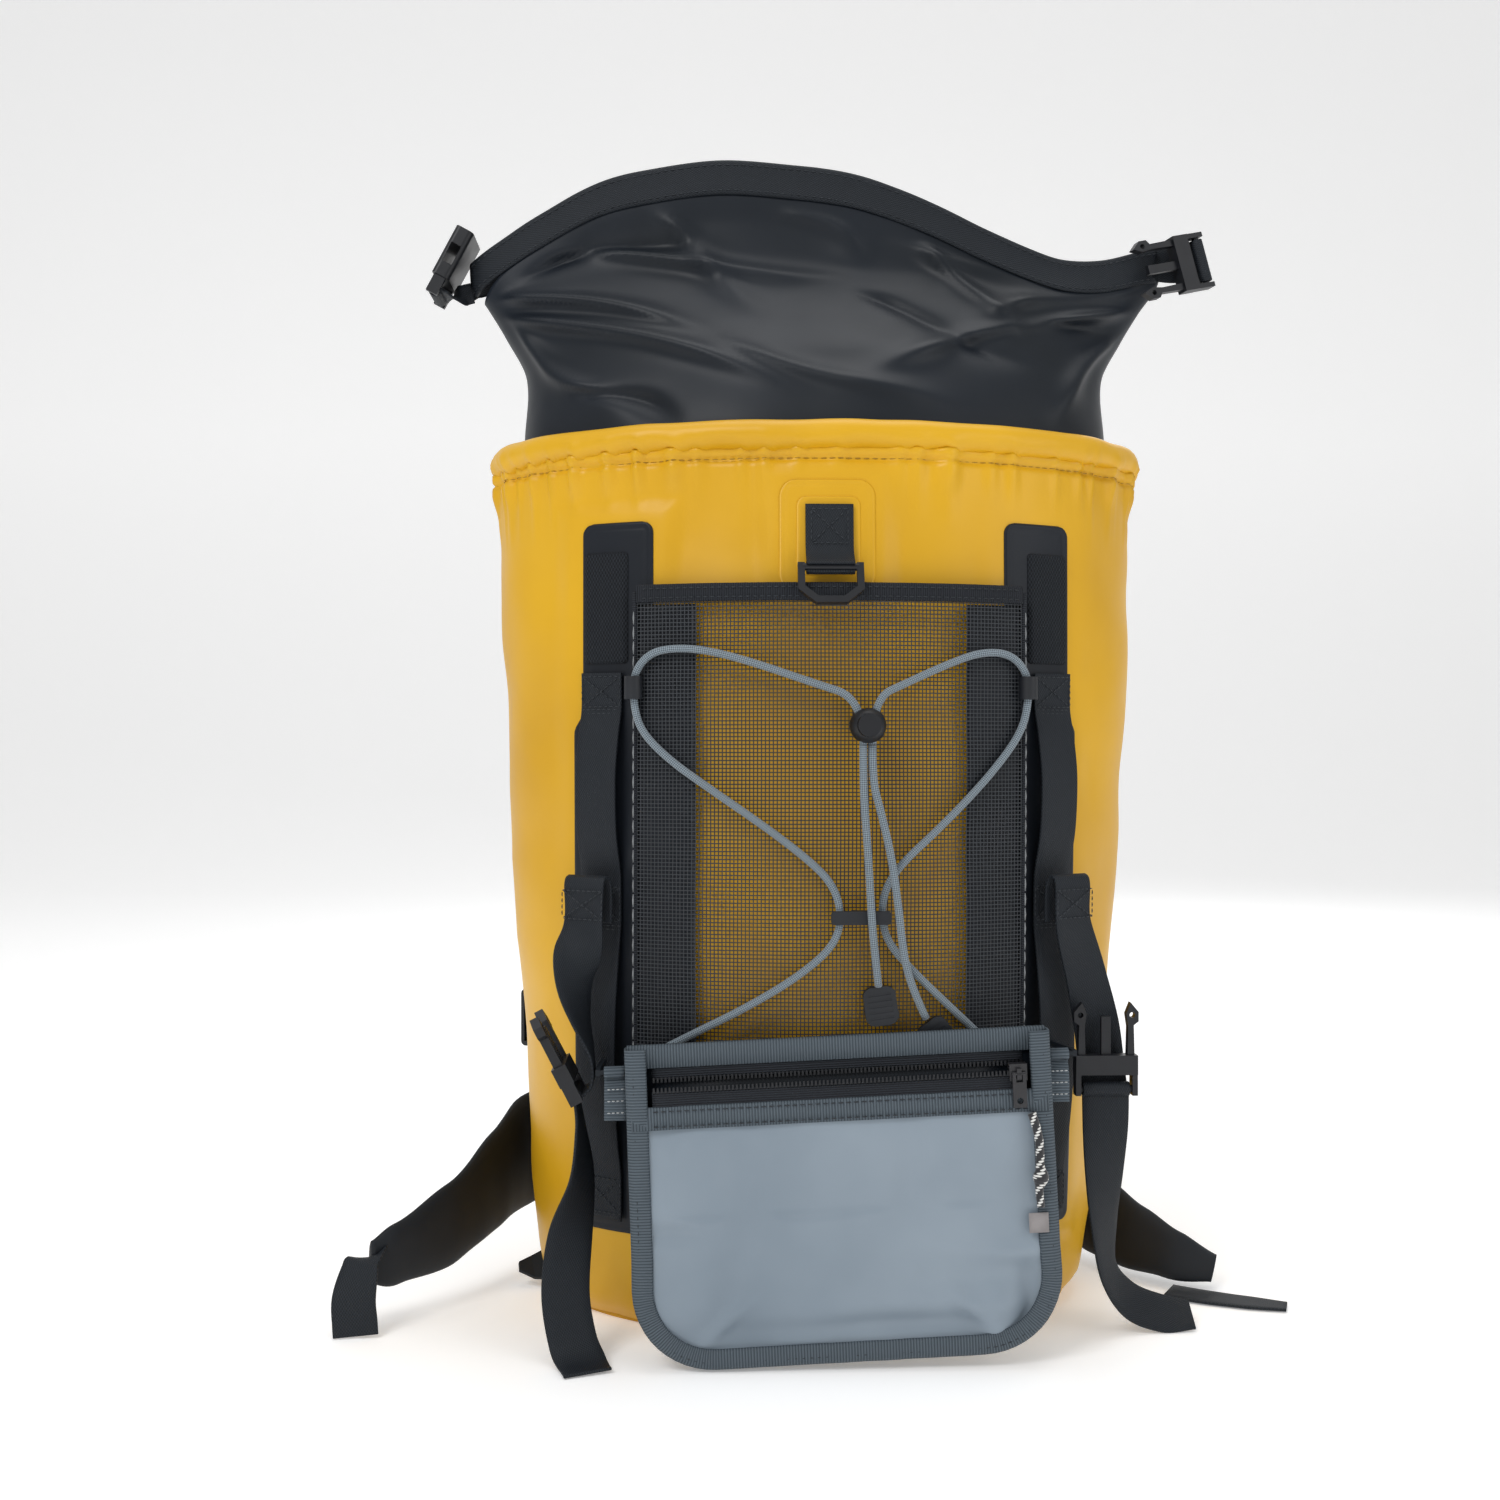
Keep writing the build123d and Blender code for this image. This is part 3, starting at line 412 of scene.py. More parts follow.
def strip(name, spots, mat, steps=8, shape=None, crown=0.0, wobble=0.0):
    """Strap through spots (centre, width direction, width, thickness).

    shape gives the section as points (
        across from -1 to 1, up from -1 to 1,
    ); crown fattens the middle of a pad.
    """
    section = shape or [(-1, -0.6), (-0.97, -1), (-0.6, -1), (0, -1), (0.6, -1), (0.97, -1), (1, -0.6),
                        (1, 0.6), (0.97, 1), (0.6, 1), (0, 1), (-0.6, 1), (-0.97, 1), (-1, 0.6)]
    centres = [Vector(s[0]) for s in spots]
    wides = [Vector(s[1]).normalized() for s in spots]
    count = (len(spots) - 1) * steps
    path = [spline(centres, k / steps) for k in range(count + 1)]
    rows = []
    for k, p in enumerate(path):
        t = k / steps
        along = (path[min(k + 1, count)] - path[max(k - 1, 0)]).normalized()
        wide = spline(wides, t)
        wide = (wide - along * wide.dot(along)).normalized()
        up = along.cross(wide).normalized()
        i = min(int(t), len(spots) - 2)
        width, thick = (a + (b - a) * ease(t - i) for a, b in zip(spots[i][2:], spots[i + 1][2:]))
        lift = wave(p.x, p.y, p.z, 17, 3) * wobble
        row = []
        for a, b in section:
            swell = 1 + crown * (1 - a * a)
            row.append(p + wide * (a * width / 2) + up * (b * thick / 2 * swell + lift * (1 - 0.5 * abs(a))))
        rows.append(row)
    obj = bar(name, rows, mat)
    # v along the strap, u across it, in metres
    dist = lengths(path)
    layer = obj.data.uv_layers[0].data
    n = len(section)
    width0 = spots[0][2]
    for poly in obj.data.polygons:
        for li in poly.loop_indices:
            vi = obj.data.loops[li].vertex_index
            layer[li].uv = (section[vi % n][0] * width0 / 2 * MM, dist[vi // n] * MM)
    return obj


def nurbs_path(name, points):
    """Points along the smooth line that a NURBS spline draws through the route's control points."""
    curve = bpy.data.curves.new(name + "_route", "CURVE")
    curve.dimensions = "3D"
    route = curve.splines.new("NURBS")
    route.points.add(len(points) - 1)
    for target, p in zip(route.points, points):
        target.co = (*(Vector(p) * MM), 1)
    route.order_u = 3
    route.use_endpoint_u = True
    curve.resolution_u = 12
    holder = bpy.data.objects.new(name + "_route", curve)
    mesh = bpy.data.meshes.new_from_object(holder)
    path = [v.co / MM for v in mesh.vertices]
    bpy.data.objects.remove(holder)
    bpy.data.curves.remove(curve)
    bpy.data.meshes.remove(mesh)
    return path


def tube(name, path, radius, mat, sides=14):
    """Round tube along points, with u round it from 0 to 1 and v along it in metres."""
    dist = lengths(path)
    rows = []
    up = Vector((0.3, 0.2, 1)).normalized()
    r = radius if callable(radius) else (lambda s: radius)
    for k, p in enumerate(path):
        along = (path[min(k + 1, len(path) - 1)] - path[max(k - 1, 0)]).normalized()
        up = (up - along * up.dot(along)).normalized()
        side = along.cross(up)
        ring = []
        for i in range(sides):
            t = TURN * i / sides
            ring.append(p + (side * math.cos(t) + up * math.sin(t)) * r(dist[k]))
        rows.append(ring)
    return grid(name, rows, mat, closed=True, cap=True, uv=lambda j, i: (i / sides, dist[j] * MM))


def stitches(name, lines, mat="thread", body="sack", slot="black_webbing", size=2.6, gap=1.1, radius=0.33):
    """Rows of thread stitches. Each line is a list of (point, outward normal)."""
    verts, faces = [], []
    for line in lines:
        points = [p for p, _ in line]
        dist = lengths(points)
        s = gap
        while s + size < dist[-1]:
            ends = []
            for d in (s, s + size / 2, s + size):
                k = max(i for i in range(len(dist)) if dist[i] <= d)
                k = min(k, len(points) - 2)
                f = (d - dist[k]) / max(1e-6, dist[k + 1] - dist[k])
                ends.append((points[k].lerp(points[k + 1], f), line[k][1]))
            along = (ends[2][0] - ends[0][0]).normalized()
            base = len(verts)
            for (p, up), high, thin in zip(ends, (-0.1, 0.35, -0.1), (0.5, 1.0, 0.5)):
                side = along.cross(up).normalized()
                top = p + up * (THREAD_LIFT + high * radius)
                for c, d in ((1, 0), (0.6, 0.8), (-0.6, 0.8), (-1, 0), (-0.6, -0.8), (0.6, -0.8)):
                    verts.append(top + (side * c + up * d) * radius * thin)
            for j in (0, 1):
                for i in range(6):
                    k = (i + 1) % 6
                    a, b = base + j * 6 + i, base + j * 6 + k
                    faces.append((a, b, b + 6, a + 6))
            faces.append(tuple(base + i for i in range(6))[::-1])
            faces.append(tuple(base + 12 + i for i in range(6)))
            s += size + gap
    return place(build(name, verts, faces, None, mat), body, slot)


def wall_line(points, off):
    """A line across the wall through (x, z) points, with outward normals."""
    line = []
    for (x0, z0), (x1, z1) in zip(points, points[1:]):
        n = max(1, int(math.hypot(x1 - x0, z1 - z0) / LINE_STEP))
        for k in range(n + 1):
            x, z = x0 + (x1 - x0) * k / n, z0 + (z1 - z0) * k / n
            p = front(x, z, off)
            line.append((p, (front(x, z, off + 1) - p).normalized()))
    return line


def box_cross(x0, x1, z0, z1):
    """A box with a cross in it, as lines of (x, z)."""
    return [[(x0, z0), (x1, z0), (x1, z1), (x0, z1), (x0, z0)], [(x0, z0), (x1, z1)], [(x0, z1), (x1, z0)]]


def relief(name, z0, z1, left, right, height, mat, radius=0.0, nu=24, nv=60, base=0.05, rear=False, edge=0.8):
    """A welded or sewn patch on the wall. left and right give its sides at a height, height its thickness."""
    rows = []
    zs = [z0, z0] + [z0 + (z1 - z0) * ease_ends(j / nv) for j in range(nv + 1)] + [z1, z1]
    for j, z in enumerate(zs):
        l, r = left(z), right(z)
        if radius:
            d = min(z - z0, z1 - z)
            if d < radius:
                inset = radius - math.sqrt(max(0.0, radius**2 - (radius - d) ** 2))
                l, r = l + inset, r - inset
        row = []
        for i in range(-2, nu + 3):
            s = min(1.0, max(0.0, i / nu))
            x = l + (r - l) * s
            flat = j in (0, len(zs) - 1) or i in (-2, nu + 2)
            d = min(x - l, r - x, z - z0, z1 - z)
            h = base if flat else base + (height(x, z, d) - base) * ease(0.35 + d / edge)
            row.append(front(x, z, h, rear))
        rows.append(row)
    return grid(name, rows, mat)


def ease_ends(t):
    """Spreads rows so that they lie closer together at both ends."""
    return t - 0.09 * math.sin(TURN * t)


# ---------------------------------------------------------------- sack
def calm(x, z):
    """0 where layers are sewn on the front, 1 where the wall is free."""
    inner = ease((90 - abs(x)) / 14) if abs(x) < 115 else ease((abs(x) - 137) / 14)
    if z > 436 or z < 52:
        inner = max(inner, ease(max(z - 438, 50 - z) / 12))
    if abs(x + 2) < 42 and 385 < z < 470:
        inner *= ease((max(abs(x + 2) - 28, abs(z - 427) - 30)) / 12)
    return inner


# gathers under the rolled rim: angle, width and height of each, at uneven steps
PUCKERS = [
    (TURN * (k + rng.uniform(-0.42, 0.42)) / 58, rng.uniform(0.012, 0.03), rng.uniform(0.3, 1.0))
    for k in range(58)
]


def pucker(turn):
    total = 0.0
    for angle, width, high in PUCKERS:
        d = (turn - angle + math.pi) % TURN - math.pi
        if abs(d) < 4 * width:
            total += high * bell(d, width)
    return total


def make_wall():
    n = 440
    levels = [3, 3.6, 5.5, 8] + [10 + 430 * k / 110 for k in range(111)] + [442 + k * 1.5 for k in range(22)]
    rows = [
        [wall(TURN * i / n, 3) * s + Vector((0, 0, 3 * (1 - s))) for i in range(n)]
        for s in (0.02, 0.5, 0.96)
    ]
    for z in levels:
        row = []
        for i in range(n):
            turn = TURN * i / n
            p = wall(turn, z)
            free = calm(p.x, z) if p.y < 0 else ease((abs(p.x) - 120) / 20)
            dents = wave(p.x, p.y, z, 95) * 2.2 + wave(p.x, p.y, z, 38, 5) * 0.9
            folds = 0.0
            if z > 425:
                gather = pucker(turn)
                seam = bell(z - 467.5, 1.6)
                folds = gather * 4.4 * ease((z - 446) / 21) - 2.4 * seam + 1.1 * gather * ease((z - 425) / 20)
            foot = wave(p.x * 1.5, p.y, z, 26, 9) * 1.0 * ease((60 - z) / 40)
            row.append(wall(turn, z, -0.8 * free + (min(1.6, dents + foot) + min(4.0, folds)) * free))
        rows.append(row)
    place(grid("sack_wall", rows, "yellow", closed=True, thick=1.4), "sack", "yellow_tarpaulin", "main_shell")


def make_rim():
    n, sides = 420, 20
    a, b, zc = 182, 115, 479.8
    rows = []
    for k in range(n + 1):
        turn = TURN * k / n
        c, s = math.cos(turn), math.sin(turn)
        centre = Vector((a * c, b * s, zc))
        out = Vector((c / a, s / b, 0)).normalized()
        row = []
        for i in range(sides):
            t = TURN * i / sides
            under = max(0.0, -math.sin(t - 0.4))
            r = 8.3 + 2.4 * (pucker(turn + 0.02 * math.sin(t)) - 0.3) * under
            r += 0.6 * wave(centre.x, centre.y, t * 9, 24, 2)
            row.append(centre + out * math.cos(t) * r + Vector((0, 0, math.sin(t) * r)))
        rows.append(row)
    place(grid("rim_roll", rows, "yellow", closed=True), "sack", "yellow_tarpaulin", "rim_hem", "rim_cord")
    line = []
    for k in range(361):
        turn = TURN * k / 360
        p = wall(turn, 467.5, -0.7 + min(4.0, pucker(turn) * 5.5 - 2.4))
        line.append((p, (wall(turn, 467.5, 5) - p).normalized()))
    stitches("rim_stitches", [line], "seam", slot="yellow_tarpaulin", size=3.0, gap=1.6)


COLLAR = [
    (452, 182, 114), (468, 171, 104), (495, 171, 103), (532, 170, 84), (556, 182, 62), (574, 193, 46),
    (592, 205, 33), (622, 208, 28), (668, 208, 27),
]
MOUTH_TOP = [
    (-212, 592), (-184, 610), (-161, 624), (-126, 642), (-91, 650), (-56, 654), (-21, 652), (14, 648),
    (37, 642),
    (66, 631), (96, 617), (125, 605), (143, 600), (166, 601), (190, 608), (212, 614),
]
# creases in the collar: start (x, z), end (x, z), half width, height
CREASES = [
    (-196, 582, -60, 548, 7, 5.5), (-190, 572, -20, 512, 8, 6), (-180, 560, -110, 498, 9, 5),
    (-150, 600, 20, 586, 8, 4.5), (196, 592, 90, 560, 7, 5.5), (190, 578, 20, 520, 8, 6),
    (178, 562, 128, 500, 9, 5), (150, 590, 40, 606, 7, 4), (-100, 628, -30, 560, 10, 3.5),
    (-60, 540, 70, 498, 9, 3.5), (60, 615, 110, 545, 9, 4), (-140, 520, -80, 490, 8, -4),
    (-170, 590, -70, 612, 7, -4), (160, 560, 60, 540, 8, -4.5), (20, 570, 120, 530, 9, -3.5),
    (-20, 630, 30, 600, 9, 3),
]


def collar_point(turn, z, off=0.0):
    return oval(COLLAR, turn, z, off)


def mouth_z(x):
    return table(MOUTH_TOP, x, 1)


def crease(x, z, front_side):
    total = 0.0
    for x0, z0, x1, z1, half, high in CREASES:
        if not front_side:
            x0, x1, high = -x0 * 0.9, -x1 * 0.8, high * 0.8
        dx, dz = x1 - x0, z1 - z0
        size = math.hypot(dx, dz)
        s = ((x - x0) * dx + (z - z0) * dz) / size**2
        d = ((x - x0) * dz - (z - z0) * dx) / size + 4 * math.sin(s * 5 + x0)
        fade = ease((s + 0.08) / 0.3) * ease((1.1 - s) / 0.45)
        width = half * (0.5 + 0.8 * min(1.0, max(0.0, s)))
        total += high * fade * math.exp(1 - math.sqrt(1 + (2.2 * d / width) ** 2))
    return total


def make_collar():
    n, m = 300, 90
    rows = []
    tops = [mouth_z(collar_point(TURN * i / n, 600).x) - 19.0 for i in range(n)]
    for j in range(m + 1):
        row = []
        for i in range(n):
            turn = TURN * i / n
            z = 454 + (tops[i] - 454) * j / m
            p = collar_point(turn, z)
            is_front = p.y < 0
            free = ease((tops[i] - z) / 18) * ease((z - 472) / 24)
            side = ease((1 - abs(math.cos(turn))) * 9)
            push = crease(p.x, z, is_front) * 1.6 - 2.2 + wave(p.x, p.y, z, 60, 4) * 1.3
            row.append(collar_point(turn, z, push * free * side - 0.5))
        rows.append(row)
    collar = grid("collar_sleeve", rows, "black", closed=True, thick=1.1)
    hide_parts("collar")
    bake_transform(collar)
    for name, sign in (("front_hem_band", -1), ("rear_hem_band", 1)):
        sections, stitch_rows = [], [[], []]
        for k in range(161):
            x = -201.8 + 403.6 * k / 160
            ring = []
            z1 = mouth_z(x) - 0.2
            z0 = z1 - 19.6
            shape = [(0, 0.5), (0.1, 0.7), (0.3, 0.45), (0.7, 0.45), (0.92, 0.7), (1.0, 0.2), (1.0, -1.1),
                     (0.92, -1.6), (0.5, -1.5), (0.1, -1.6), (0, -1.2)]
            for share, off in shape:
                z = z0 + (z1 - z0) * share
                a, b = table(COLLAR, z, 1), table(COLLAR, z, 2)
                y = b * math.sqrt(max(0.0006, 1 - (x / a) ** 2))
                out = Vector((x / a**2, y / b**2, 0)).normalized()
                p = Vector((x, y, z)) + out * (off + 0.25 * wave(x, z, 0, 20, 7))
                p.y = max(p.y, 0.12)
                ring.append(Vector((p.x, p.y * sign, p.z)))
            if sign > 0:
                ring.reverse()
            sections.append(ring)
            for row, share in zip(stitch_rows, (0.12, 0.86)):
                z = z0 + (z1 - z0) * share
                a, b = table(COLLAR, z, 1), table(COLLAR, z, 2)
                y = sign * b * math.sqrt(max(0.0006, 1 - (x / a) ** 2))
                out = Vector((x / a**2, y / b**2, 0)).normalized()
                row.append((Vector((x, y, z)) + out * 0.75, out))
        band = bar(name + "_cloth", sections, "webbing")
        place(band, "roll_top", "black_webbing", name)
        stitches(name + "_stitches", stitch_rows, "thread", "roll_top", size=3.0, gap=1.5, radius=0.3)


# ---------------------------------------------------------------- front of the sack
def step(value, low, high, a, b):
    return a + (b - a) * ease((value - low) / (high - low))


def make_front():
    for side, tag in ((-1, "left"), (1, "right")):
        near = lambda z: step(z, 292, 304, 99, 93)
        far = lambda z: step(z, 324, 336, 136, 131)
        l = near if side > 0 else (lambda z: -far(z))
        r = far if side > 0 else (lambda z: -near(z))
        weld = lambda x, z, d: 1.15 - 0.28 * bell(d - 3.4, 0.7) + 0.05 * wave(x, z, 0, 30)
        patch = relief(f"lash_patch_{tag}", 54, 436, l, r, weld, "patch", 6, 40, 200)
        place(patch, "sack", "black_coated", "lash_patches")
        g0, g1 = sorted((side * 106, side * 129))
        soft = lambda x, z, d: 2.9 + 0.15 * wave(x, z, 0, 5)
        grip = relief(f"grip_{tag}", 361, 420, lambda z: g0, lambda z: g1, soft, "grip", 2, 16, 36, 1.2)
        place(grip, "sack", "black_coated", "grip_patches")
        levels = [
            (356, 3.4), (337, 3.4), (322, 6.6), (300, 9.5), (272, 8.4), (252, 4.2), (243, 3.4), (222, 3.4),
            (205, 5.6), (175, 8.8), (140, 9.5), (105, 6.4), (86, 3.4), (62, 3.4),
        ]
        x = STRAP_X * side
        spots = [(front(x, z, off), across(x, z), WEB_WIDTH, WEB_THICK) for z, off in levels]
        place(strip(f"lash_web_{tag}", spots, "webbing"), "sack", "black_webbing", "lash_webbing")
        rows = []
        for z0, z1 in ((338, 354), (224, 242), (65, 84)):
            for line in box_cross(x - 10, x + 10, z0, z1):
                rows.append(wall_line(line, 4.2))
        for z in (219.5, 221.5, 334.5, 336.5):
            rows.append(wall_line([(x - 11, z), (x + 11, z)], 4.2))
        stitches(f"lash_stitches_{tag}", rows, "thread", size=2.4, gap=0.9, radius=0.36)
        edge = wall_line([(POCKET_X * side, 68), (POCKET_X * side, 391)], 9.7)
        stitches(
            f"reflective_dashes_{tag}", [edge], "silver", slot="reflective_piping", size=6.6, gap=1.2,
            radius=0.5,
        )
        rows = []
        for z in [58 + k * 4 for k in range(86)]:
            ring = []
            for dx, off in ((-1.2, 1.4), (-1.2, 8.6), (-0.7, 9.6), (0.7, 9.6), (1.2, 8.6), (1.2, 1.4)):
                ring.append(front(POCKET_X * side + dx, z, off))
            rows.append(ring)
        place(bar(f"pocket_gusset_{tag}", rows, "binding"), "sack", "black_binding", "pocket_frame")
        b0, b1 = sorted((side * 69, side * 98))
        band = relief(
            f"pocket_backing_{tag}", 67, 391, lambda z: b0, lambda z: b1,
            lambda x, z, d: 6.6 + 0.4 * wave(x, z, 0, 25), "patch", 0, 12, 60, 6.2,
        )
        place(band, "sack", "black_binding")
    rows = []
    for k in range(101):
        x = -100 + 2 * k
        section = ((58, 1.4), (58, 8.4), (59, 9.6), (64.6, 9.6), (65.6, 8.6), (65.6, 1.4))
        rows.append([front(x, z, off) for z, off in section])
    place(bar("pocket_foot", rows, "binding"), "sack", "black_binding", "pocket_frame")
    rows = []
    for j in range(131):
        z = 66 + 326 * j / 130
        rows.append([
            front(x, z, 8.7 + min(0.5, 0.9 * wave(x, z, 0, 45, 3)) * ease((96 - abs(x)) / 12))
            for x in [-98 + 196 * i / 80 for i in range(81)]
        ])
    mesh = place(grid("mesh_net", rows, "mesh"), "sack", "black_mesh", "mesh_panel")
    rows = []
    for k in range(99):
        x = -98 + 2 * k
        lift = 0.3 * wave(x, 0, 0, 18)
        shape = (
            (392, 7.9), (392, 9.6), (393, 10.1), (400.4, 10.1), (401.4, 9.5), (401.4, 8.0), (400, 7.7),
            (393, 7.7),
        )
        rows.append([front(x, z, off + lift) for z, off in shape])
    place(bar("mesh_top_tape", rows, "binding"), "sack", "black_binding", "mesh_top_binding")
    stitches(
        "mesh_top_stitches",
        [wall_line([(-96, 394.2), (96, 394.2)], 10.3), wall_line([(-96, 399), (96, 399)], 10.3)],
    )


def make_dring():
    flat = lambda x, z, d: 1.05 - 0.25 * bell(d - 2.6, 0.6)
    base = relief("dring_patch_base", 398, 456, lambda z: -27.5, lambda z: 23, flat, "yellow", 9, 40, 46)
    place(base, "sack", "yellow_tarpaulin", "dring_patch")
    raised = lambda x, z, d: 2.0 - 0.15 * bell(d - 2.2, 0.5)
    top = relief("dring_patch_top", 406, 447, lambda z: -18.5, lambda z: 15, raised, "yellow", 5, 30, 34, 1.0)
    place(top, "sack", "yellow_tarpaulin", "dring_patch")
    spots = [
        ((-1.5, y, z), (1, 0, 0), WEB_WIDTH, WEB_THICK) for y,
        z in ((-123.2, 442.5), (-124.2, 430), (-126, 418))
    ]
    for k in range(9):
        t = math.radians(150 - k * 36)
        ring = (-1.5, -131.6 + BAR_RADIUS * math.cos(t), 409 + BAR_RADIUS * math.sin(t))
        spots.append((ring, (1, 0, 0), WEB_WIDTH, 1.4))
    place(strip("dring_web", spots, "webbing", steps=4), "sack", "black_webbing", "dring_webbing")
    rows = []
    for line in box_cross(-11, 8, 422, 440):
        rows.append([(Vector((x, -124.0 - (440 - z) * 0.1, z)), OUTWARD) for x, z in line])
    stitches("dring_stitches", rows, size=2.4, gap=0.9, radius=0.36)


# ---------------------------------------------------------------- cords
CORD_OFFSET = 12.0
LOCK = Vector((16.7, -140.8, 327.5))
LEFT_X, RIGHT_X = -98.6, 99.6
LACING_LEFT = [
    (-12, 350), (-38, 359.5), (-60, 366), (-76, 368), (-90, 366), (LEFT_X + 0.2, 355.5), (LEFT_X, 340),
    (-95, 325),
    (-81, 310), (-60, 294.5), (-37, 278), (-15, 261), (0, 246), (4.2, 229), (0, 214), (-18, 198),
    (-42, 182.5),
    (-68, 168), (-90, 155), (LEFT_X, 140), (LEFT_X + 0.1, 124), (-90, 110), (-66, 101), (-30, 98), (5, 97.5),
]
LACING_RIGHT = [
    (37, 350), (56, 359), (74, 366), (90, 365.5), (RIGHT_X - 0.2, 355), (RIGHT_X, 340), (96, 325), (84, 308),
    (68, 290), (50, 272), (33, 256), (25, 243), (23.6, 229), (27, 215), (42, 198), (60, 180), (77, 163),
    (92, 148),
    (RIGHT_X, 132), (RIGHT_X - 0.1, 118), (91, 106), (68, 99.5), (38, 98),
]
TAIL_LEFT = [
    (14.35, LOCK.y, 317.8), (14.35, LOCK.y, 299), (15.2, -140.2, 284), (17.2, -139.6, 258),
    (18.8, -139.6, 228),
    (20.8, -136.6, 210), (23.2, -130.8, 193.6),
]
TAIL_RIGHT = [
    (19.05, LOCK.y, 317.8), (19.05, LOCK.y, 299), (23, -140.2, 285), (28.6, -139.8, 262), (32.4, -139.4, 236),
    (35, -137.4, 212), (40, -133, 193), (48.2, -127.4, 176.4),
]
ZIP_CORD = [(99.2, -147.6, 131.2), (101.6, -148.6, 124), (103.4, -148.2, 114), (103.2, -148.4, 103.8)]


def make_cords():
    left = [front(x, z, CORD_OFFSET) for x, z in LACING_LEFT]
    right = [front(x, z, CORD_OFFSET) for x, z in reversed(LACING_RIGHT)]
    start = [Vector((14.35, LOCK.y, 318)), Vector((14.35, LOCK.y, 341))]
    end = [Vector((19.05, LOCK.y, 341)), Vector((19.05, LOCK.y, 318))]
    route = start + left + right + end
    path = nurbs_path("bungee_lacing", route)
    lacing = place(tube("bungee_lacing_cord", path, 2.0, "bungee"), "sack", "bungee_cord", "bungee_lacing")
    tuple(v * MM for v in route[0])
    for tag, points, size in (("left", TAIL_LEFT, 0.126), ("right", TAIL_RIGHT, 0.147)):
        path = nurbs_path(f"tail_{tag}", points)
        tail = place(
            tube(f"bungee_tail_{tag}_cord", path, 2.0, "bungee"), "sack", "bungee_cord", f"bungee_tail_{tag}",
        )
        tuple(v * MM for v in points[0])
    path = nurbs_path("zip_pull", ZIP_CORD)
    pull = place(tube("zip_pull_loop", path, 2.2, "fleck", 18), "puller", "flecked_cord", "zip_pull_cord")
    fat = lambda s: 2.0 + 2.1 * bell(s - 6, 3.6)
    down = [Vector((103.3 + 0.4 * math.sin(k * 0.4), -148.4, 105 - k * 1.1)) for k in range(20)]
    knot = place(
        tube("zip_pull_knotted_end", down, fat, "fleck", 18), "puller", "flecked_cord", "zip_pull_knot",
    )


# ---------------------------------------------------------------- pouch
TILT = math.radians(2.5)
POUCH_TOP, POUCH_FOOT, POUCH_Y, ZIP_Z = 168.5, 5.5, -134.0, 147.0


def hung(x, y, z):
    """A point of the upright pouch, moved to where the tilted pouch is."""
    dz = z - POUCH_TOP
    c, s = math.cos(TILT), math.sin(TILT)
    return Vector((1 + x * c - dz * s, y, POUCH_TOP + x * s + dz * c))


def pouch_half(z, inset=0.0):
    """Half width of the pouch at a height, with its round lower corners."""
    half = 108.5 + (107 - 108.5) * (z - POUCH_FOOT) / 163 - inset
    foot, r = POUCH_FOOT + inset, 40 - inset
    if z < foot + r:
        half -= r - math.sqrt(max(0.0, r**2 - (foot + r - z) ** 2))
    return half


# hollows (positive) and swells in the pouch's front: x, z, half widths, depth
POUCH_DENTS = [
    (-48, 78, 14, 34, 2.6), (36, 96, 12, 30, 2.4), (60, 44, 34, 12, 3.4), (-60, 36, 12, 16, 2.2),
    (20, 22, 70, 7, 3.0),
    (74, 24, 9, 14, -2.6), (88, 56, 18, 6, -2.2), (-88, 74, 14, 5, 1.6), (-20, 58, 22, 18, -1.4),
    (92, 34, 6, 18, 2.4),
]


def corner(x, start):
    """A round lower corner of the pouch, as points (x, z) from the angle start on."""
    turns = [math.radians(start + 7.5 * k) for k in range(13)]
    return [(x + 40 * math.cos(t), 45.5 + 40 * math.sin(t)) for t in turns]


